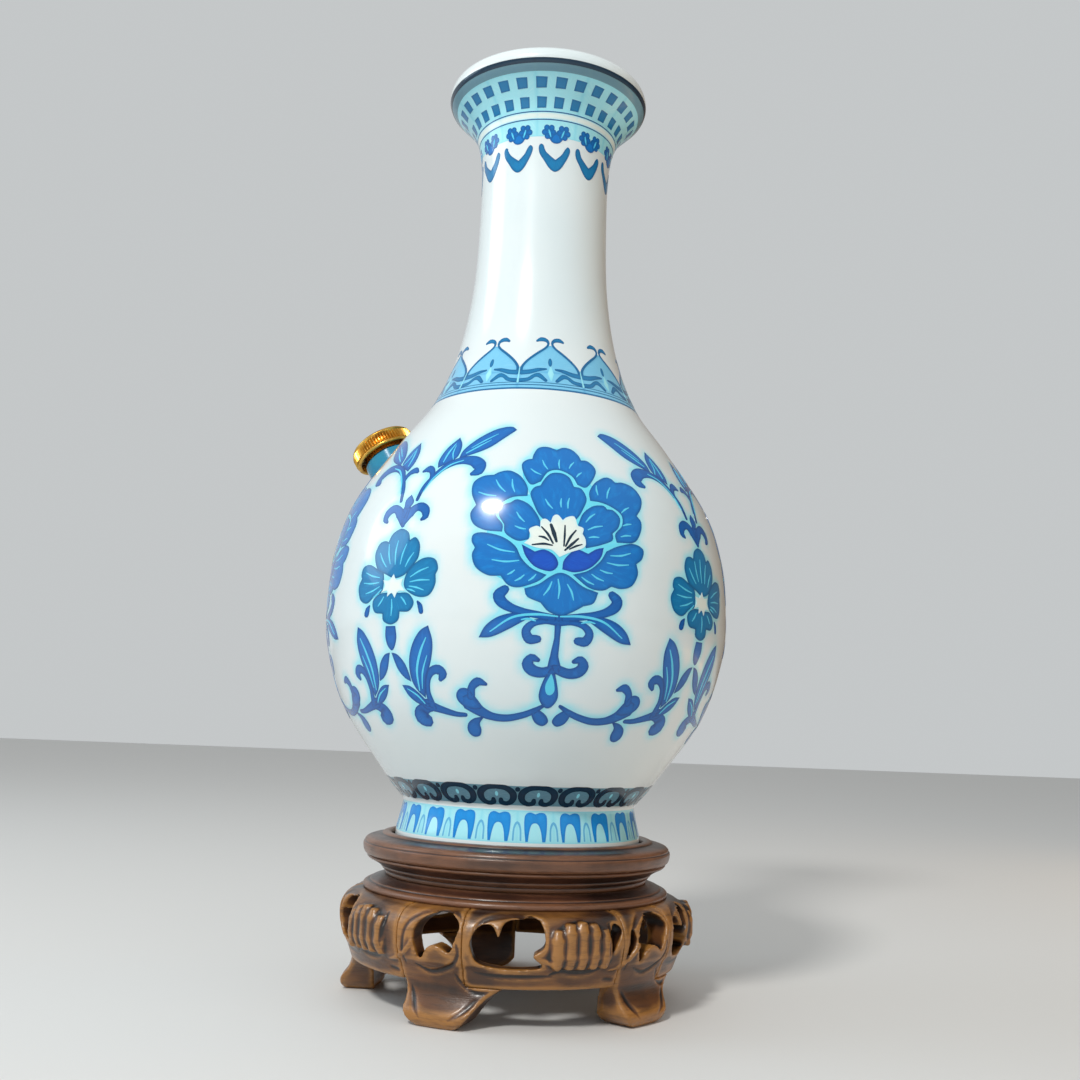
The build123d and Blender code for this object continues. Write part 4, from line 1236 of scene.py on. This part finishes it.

# %% [markdown]
# ## The carved stand
#
# The stand is dark hardwood, turned in its upper part and carved below. A carver's tool leaves slightly
# rounded edges, so each carved piece is a copy of its CAD solid, remeshed into small even faces, worked
# with grooves and ridges, and softened. How far each vertex stands out from its softened neighbourhood is
# kept on it: the ridges are coloured gold, as wear rubbed by hands and as a painted highlight, and the
# hollows are darkened as painted shade.

# %% Wood with gold on its ridges, as wear and painted highlight, and painted shade in its hollows
wood_look, wood_look_in, wood_look_out = new_group(
    "wood_wear_and_painted_light",
    [(label, "NodeSocketColor", (0, 0, 0, 1)) for label in ("Dark", "Mid", "Gold")]
    + [("Wear", "NodeSocketFloat", 1.0)],
    [("Color", "NodeSocketColor"), ("Roughness", "NodeSocketFloat"), ("Normal", "NodeSocketVector")],
)
ridge = add_node(wood_look, "ShaderNodeAttribute", {"attribute_name": "ridge"}).outputs["Fac"]
spot = object_spot(wood_look)
grain = noise(wood_look, stretch(wood_look, spot, (1.0, 1.0, 7.0)), 150.0, 4.0, 0.62)
pores = noise(wood_look, stretch(wood_look, spot, (1.0, 1.0, 5.0)), 900.0, 2.0, 0.7)
patches = noise(wood_look, spot, 46.0, 3.0, 0.55)
low_gold = ramp(wood_look, add_node(wood_look, "ShaderNodeSeparateXYZ", None, _0=spot).outputs[2], 0.034, 0.010)
patchy = math_node(wood_look, "ADD", patches, math_node(wood_look, "MULTIPLY", low_gold, 0.16))
shade = mix_colours(wood_look, ramp(wood_look, patchy, 0.42, 0.74), wood_look_in["Dark"], wood_look_in["Mid"])
# the ridges turn gold, partly as wear rubbed by hands and partly as a painted highlight where ridges catch
# the light
rubbed_and_lit = math_node(
    wood_look, "ADD", ridge, math_node(wood_look, "MULTIPLY", math_node(wood_look, "SUBTRACT", patchy, 0.55), 0.9),
)
rubbed_and_lit = math_node(wood_look, "MULTIPLY", ramp(wood_look, rubbed_and_lit, 0.14, 0.55), wood_look_in["Wear"])
shade = mix_colours(wood_look, math_node(wood_look, "MULTIPLY", rubbed_and_lit, 0.85), shade, wood_look_in["Gold"])
shade = mix_colours(
    wood_look, math_node(wood_look, "MULTIPLY", ramp(wood_look, grain, 0.48, 0.68), 0.45), shade, wood_look_in["Dark"],
)
# painted shade: the hollows of the carving and the turning are darkened nearly to black
hollow_shade = ramp(wood_look, ridge, -0.08, -0.5)
shade = mix_colours(wood_look, hollow_shade, shade, colour(20, 10, 7))
wood_look.links.new(shade, wood_look_out[0])
wood_look.links.new(between(wood_look, grain, 0.26, 0.46), wood_look_out[1])
relief = math_node(wood_look, "ADD", grain, math_node(wood_look, "MULTIPLY", pores, 0.6))
link_bump(wood_look, wood_look_out[2], 0.35, 0.0004, relief)


def wood(name, dark, mid, gold, wear_and_highlight):
    made, tree, shader = new_material(name, Coat_Weight=0.35, Coat_Roughness=0.22)
    made_wood = place_group(tree, wood_look, Dark=colour(*dark), Mid=colour(*mid), Gold=colour(*gold), Wear=wear_and_highlight)
    for label, target in (("Color", "Base Color"), ("Roughness", "Roughness"), ("Normal", "Normal")):
        tree.links.new(made_wood[label], shader.inputs[target])
    return made


carved_wood = wood("carved_wood", (36, 18, 10), (104, 62, 26), (176, 122, 58), 0.8)
turned_wood = wood("turned_wood", (40, 22, 16), (88, 52, 36), (146, 98, 66), 0.6)
dowel_finish = wood("dowel_wood", (120, 84, 48), (150, 108, 66), (176, 134, 86), 0.3)
dress("dowels", dowel_finish)

# %% Keeping how far each vertex stands out
def keep_ridges(piece, spread, rounds=10):
    """Stores on each vertex how far it stands out from its softened neighbourhood, as about -1 to 1."""
    mesh = piece.data
    count = len(mesh.vertices)
    spots = np.empty(count * 3, np.float32)
    mesh.vertices.foreach_get("co", spots)
    spots = spots.reshape(-1, 3) / MM
    normals = np.empty(count * 3, np.float32)
    mesh.vertices.foreach_get("normal", normals)
    ends = np.empty(len(mesh.edges) * 2, np.int32)
    mesh.edges.foreach_get("vertices", ends)
    ends = ends.reshape(-1, 2)
    share = np.bincount(ends.ravel(), minlength=count)[:, None]
    soft = spots.copy()
    for _ in range(rounds):
        total = np.zeros_like(soft)
        for a, b in ((0, 1), (1, 0)):
            for k in range(3):
                total[:, k] += np.bincount(ends[:, a], weights=soft[ends[:, b], k], minlength=count)
        soft = total / np.maximum(share, 1)
    out = np.sum((spots - soft) * normals.reshape(-1, 3), axis=1) / spread
    mesh.attributes.new("ridge", "FLOAT", "POINT").data.foreach_set(
        "value", np.clip(out, -1, 1).astype(np.float32),
    )


# %% Carving a copy of a CAD solid
def line_distance(line, spots):
    """Distance from each spot to a chain of points, and how far along the chain the nearest place is."""
    near, along, done = np.full(len(spots), 1e9), np.zeros(len(spots)), 0.0
    total = np.sum(np.linalg.norm(np.diff(line, axis=0), axis=1))
    for a, b in zip(line[:-1], line[1:]):
        ab = b - a
        t = np.clip(((spots - a) @ ab) / (ab @ ab + 1e-12), 0, 1)
        d = np.linalg.norm(spots - a - t[:, None] * ab, axis=1)
        along = np.where(d < near, (done + t * np.linalg.norm(ab)) / total, along)
        near = np.minimum(near, d)
        done += np.linalg.norm(ab)
    return near, along


BELLY_REACH = 52.0  # the radius that the carver's sideways millimetres are measured on
CARVED_FROM = 48.0  # nothing is cut nearer to the axis than this
VOXEL = 0.5


def carve(node, turn, cuts):
    """A softened copy of a carved CAD node. A cut is (points, half width, depth). Its points are sideways
    millimetres on the belly and height, from a leg's middle at the given turn. A depth under 0 raises a
    ridge."""
    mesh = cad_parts[node].data.copy()
    shape = bmesh.new()
    shape.from_mesh(mesh)
    bmesh.ops.remove_doubles(shape, verts=shape.verts, dist=0.00001)
    shape.to_mesh(mesh)
    shape.free()
    piece = put("carved_" + node, mesh)
    remesh = piece.modifiers.new("even", "REMESH")
    remesh.mode, remesh.voxel_size, remesh.adaptivity = "VOXEL", VOXEL * MM, 0.0
    softer = piece.modifiers.new("soften", "SMOOTH")
    softer.factor, softer.iterations = 0.5, 2
    bpy.context.view_layer.update()
    result = bpy.data.meshes.new_from_object(piece.evaluated_get(bpy.context.evaluated_depsgraph_get()))
    piece.modifiers.clear()
    piece.data = result
    count = len(result.vertices)
    spots, normals = np.empty(count * 3, np.float32), np.empty(count * 3, np.float32)
    result.vertices.foreach_get("co", spots)
    result.vertices.foreach_get("normal", normals)
    spots, normals = spots.reshape(-1, 3) / MM, normals.reshape(-1, 3)
    radius = np.hypot(spots[:, 0], spots[:, 1])
    angle = (np.arctan2(spots[:, 0], -spots[:, 1]) - turn + math.pi) % math.tau - math.pi
    facing = (normals[:, 0] * spots[:, 0] + normals[:, 1] * spots[:, 1]) / radius
    flat = np.stack([angle * BELLY_REACH, spots[:, 2]], 1)
    front = (radius > CARVED_FROM) & (facing > 0.15)
    push = np.zeros(count)
    for line, half, deep in cuts:
        near, along = line_distance(smooth(line, 1.0), flat)
        taper = 1 - 0.6 * np.abs(2 * along - 1) ** 3
        push -= deep * np.clip(1 - (near / (half * taper)) ** 2, 0, 1) ** 1.5 * taper
    spots += normals * (push * front * np.clip(facing * 1.4, 0, 1))[:, None]
    result.vertices.foreach_set("co", (spots * MM).astype(np.float32).ravel())
    result.update()
    keep_ridges(piece, 0.28)
    result.materials.clear()
    result.materials.append(carved_wood)
    result.shade_smooth()
    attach(piece, "stand")
    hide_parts(node)
    return len(result.polygons)


# %% The carver's lines, from a leg's middle towards the next leg
FIRST_LEG, LEG_STEP = math.radians(-28.9), math.radians(72)
leg_cuts = [
    ([(-12.4, 16.0), (-12.6, 21.0), (-11.0, 27.0), (-6.0, 30.4), (2.5, 30.6), (5.6, 28.4)], 0.9, 0.35),
    ([(-9.0, 16.2), (-4.0, 14.6), (2.0, 16.6), (4.4, 20.0), (3.6, 24.0)], 0.8, 0.4),
    ([(3.0, 14.8), (5.0, 12.0), (9.0, 9.8), (13.0, 10.2)], 0.8, 0.4),
    ([(-8.4, 18.6), (-5.0, 22.0), (-1.0, 22.6), (2.2, 20.4)], 1.0, -0.35),
    ([(-11.4, 9.6), (-9.0, 5.6), (-6.4, 2.4)], 1.0, 0.3),
    ([(2.0, 2.6), (6.0, 5.0), (9.6, 8.4)], 1.0, 0.3),
]
apron_cuts = [
    ([(7.6, 20.0), (9.4, 23.4), (9.2, 27.4), (13.0, 30.0), (22.0, 30.6), (27.6, 29.0)], 0.9, 0.35),
    ([(8.6, 15.6), (14.0, 14.9), (22.0, 14.9), (30.0, 15.2)], 0.8, 0.35),
    ([(29.4, 15.6), (32.4, 16.8), (36.0, 16.2), (40.0, 16.2), (43.0, 17.0), (45.4, 18.6)], 1.0, 0.45),
    ([(26.6, 20.0), (29.8, 18.6), (31.6, 16.6)], 0.9, -0.5),
    ([(46.4, 28.8), (46.0, 24.0), (45.6, 19.6)], 0.8, 0.5),
    ([(46.6, 16.4), (50.6, 17.4), (54.6, 20.4), (58.0, 25.2)], 0.8, -0.5),
    ([(45.8, 14.0), (50.0, 13.4)], 0.9, 0.25),
]
NEXT_LEG = 65.35  # sideways millimetres from one leg's middle to the next
cuts_before = [([(x - NEXT_LEG, z) for x, z in line], half, deep) for line, half, deep in apron_cuts]
for number in range(1, 6):
    turn = FIRST_LEG + (number - 1) * LEG_STEP
    print("leg", number, carve(f"leg_{number}", turn, leg_cuts + cuts_before), "faces")
    print("apron", number, carve(f"apron_{number}", turn, apron_cuts + leg_cuts), "faces")

# %% [markdown]
# ## The turned stand
#
# The plate, the waist and the collar were turned, so they are turned again here from finer lines, with the
# beads and the two thin tool lines that show on the real one.

# %% Turned pieces of the stand
plate_line = smooth(
    [
        (0, 41.5, 1), (46.6, 41.5, 1), (47.4, 42.0), (47.85, 43.2), (47.95, 44.4), (47.8, 45.0, 1),
        (47.45, 45.15, 1), (47.5, 45.6), (46.9, 46.3), (45.6, 46.8), (43.8, 47.1), (42.4, 47.4, 1),
        (42.1, 47.9), (41.0, 48.25), (39.9, 48.1), (39.4, 47.4, 1), (39.4, 44.4, 1), (0, 44.4),
    ],
    0.6,
)
waist_line = smooth(
    [
        (29.0, 41.5, 1), (46.0, 41.5, 1), (46.6, 40.9), (46.0, 40.3, 1), (45.2, 39.95), (43.6, 39.1),
        (42.6, 38.4, 1), (42.15, 38.3, 1), (42.2, 37.9), (41.3, 36.9, 1), (40.85, 36.8, 1), (40.9, 36.4),
        (40.6, 35.4, 1), (29.0, 35.4, 1), (29.0, 41.5),
    ],
    0.6,
)
collar_line = smooth(
    [
        (29.0, 35.4, 1), (41.2, 35.4, 1), (42.2, 35.1), (43.4, 34.6), (44.6, 34.2), (45.2, 33.9, 1),
        (45.35, 33.5, 1), (45.9, 33.5), (46.9, 33.1), (47.35, 32.4), (47.0, 31.5, 1), (29.0, 31.5, 1),
        (29.0, 35.4),
    ],
    0.6,
)
for name, line, node in (
    ("turned_plate", plate_line, "stand_top"),
    ("turned_waist", waist_line, "stand_waist"),
    ("turned_collar", collar_line, "stand_collar"),
):
    piece = turned_piece(name, line, 240, turned_wood)
    keep_ridges(piece, 0.25, 6)
    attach(piece, "stand")
    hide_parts(node)
    print(name, len(piece.data.polygons), "faces")

# %% [markdown]
# ## Camera, room and floor
#
# The camera looks up a little from the height of the vase's belly. Porcelain shows the room it stands in,
# so the room matters as much as the lamps: one small window gives the bright spot, a cool pane lights the
# left, and a dim brown corner low on the right gives the shaded side its colour.

# %% Camera
camera_data = bpy.data.cameras.new("camera")
camera_data.lens, camera_data.sensor_width, camera_data.clip_start = 40.0, 36.0, 0.01
camera = bpy.data.objects.new("camera", camera_data)
turn_to = Matrix.Identity(4)
for degrees, axis in ((-8.4, "Z"), (98.94, "X"), (2.35, "Z")):
    turn_to = turn_to @ Matrix.Rotation(math.radians(degrees), 4, axis)
camera.matrix_world = Matrix.Translation((-0.05351, -0.38501, 0.0812)) @ turn_to
bpy.context.scene.collection.objects.link(camera)
bpy.context.scene.camera = camera

# %% Lights
bpy.context.scene.view_settings.view_transform = "Standard"
world = bpy.data.worlds.new("room")
bpy.context.scene.world = world
world.use_nodes = True
air = world.node_tree
backdrop = air.nodes["Background"]
backdrop.inputs["Strength"].default_value = 0.66
WALLS, BROWN_CORNER = (0.84, 0.87, 0.88, 1), (0.16, 0.09, 0.04, 1)
# only reflections and light see the brown corner, so that the backdrop stays even
way = add_node(air, "ShaderNodeVectorMath", {"operation": "DOT_PRODUCT"})
way.inputs[1].default_value = Vector((0.88, 0.30, -0.36)).normalized()
air.links.new(add_node(air, "ShaderNodeTexCoord").outputs["Generated"], way.inputs[0])
side_on = add_node(
    air, "ShaderNodeMapRange", {"interpolation_type": "SMOOTHSTEP"},
    _0=way.outputs["Value"], _1=0.10, _2=0.72, _3=0.0, _4=0.9,
)
unseen = math_node(air, "SUBTRACT", 1.0, add_node(air, "ShaderNodeLightPath").outputs["Is Camera Ray"])
share = math_node(air, "MULTIPLY", side_on.outputs[0], unseen)
air.links.new(mix_colours(air, share, WALLS, BROWN_CORNER), backdrop.inputs["Color"])


def area_light(name, place, aim, size, power, tint=(1, 1, 1)):
    data = bpy.data.lights.new(name, "AREA")
    data.shape, (data.size, data.size_y) = "ELLIPSE", size
    data.energy, data.color = power, tint
    made = put(name, data)
    towards = (Vector(aim) - Vector(place)).to_track_quat("-Z", "Y").to_matrix().to_4x4()
    made.matrix_world = Matrix.Translation(place) @ towards
    return made


area_light("window", (-0.50, -0.75, 0.92), (0, 0, 0.14), (0.20, 0.16), 9.0, (1.0, 0.98, 0.94))
warm_side = area_light("warm_side", (0.75, 0.12, 0.06), (0, 0, 0.08), (0.4, 0.3), 1.6, (1.0, 0.62, 0.28))
warm_side.visible_glossy = False  # it tints the shaded side, and leaves no spot on the glaze
area_light("cool_side", (-0.95, 0.15, 0.55), (0, 0, 0.14), (0.6, 0.6), 1.9, (0.72, 0.88, 1.0))

# %% Floor
floor_data = bpy.data.meshes.new("floor")
floor_data.from_pydata([(-3, -3, 0), (3, -3, 0), (3, 3, 0), (-3, 3, 0)], [], [(0, 1, 2, 3)])
floor = put("floor", floor_data)
floor_finish, tree, shader = new_material("floor_finish", Roughness=0.7)
shader.inputs["Base Color"].default_value = (0.72, 0.72, 0.71, 1)
floor_data.materials.append(floor_finish)
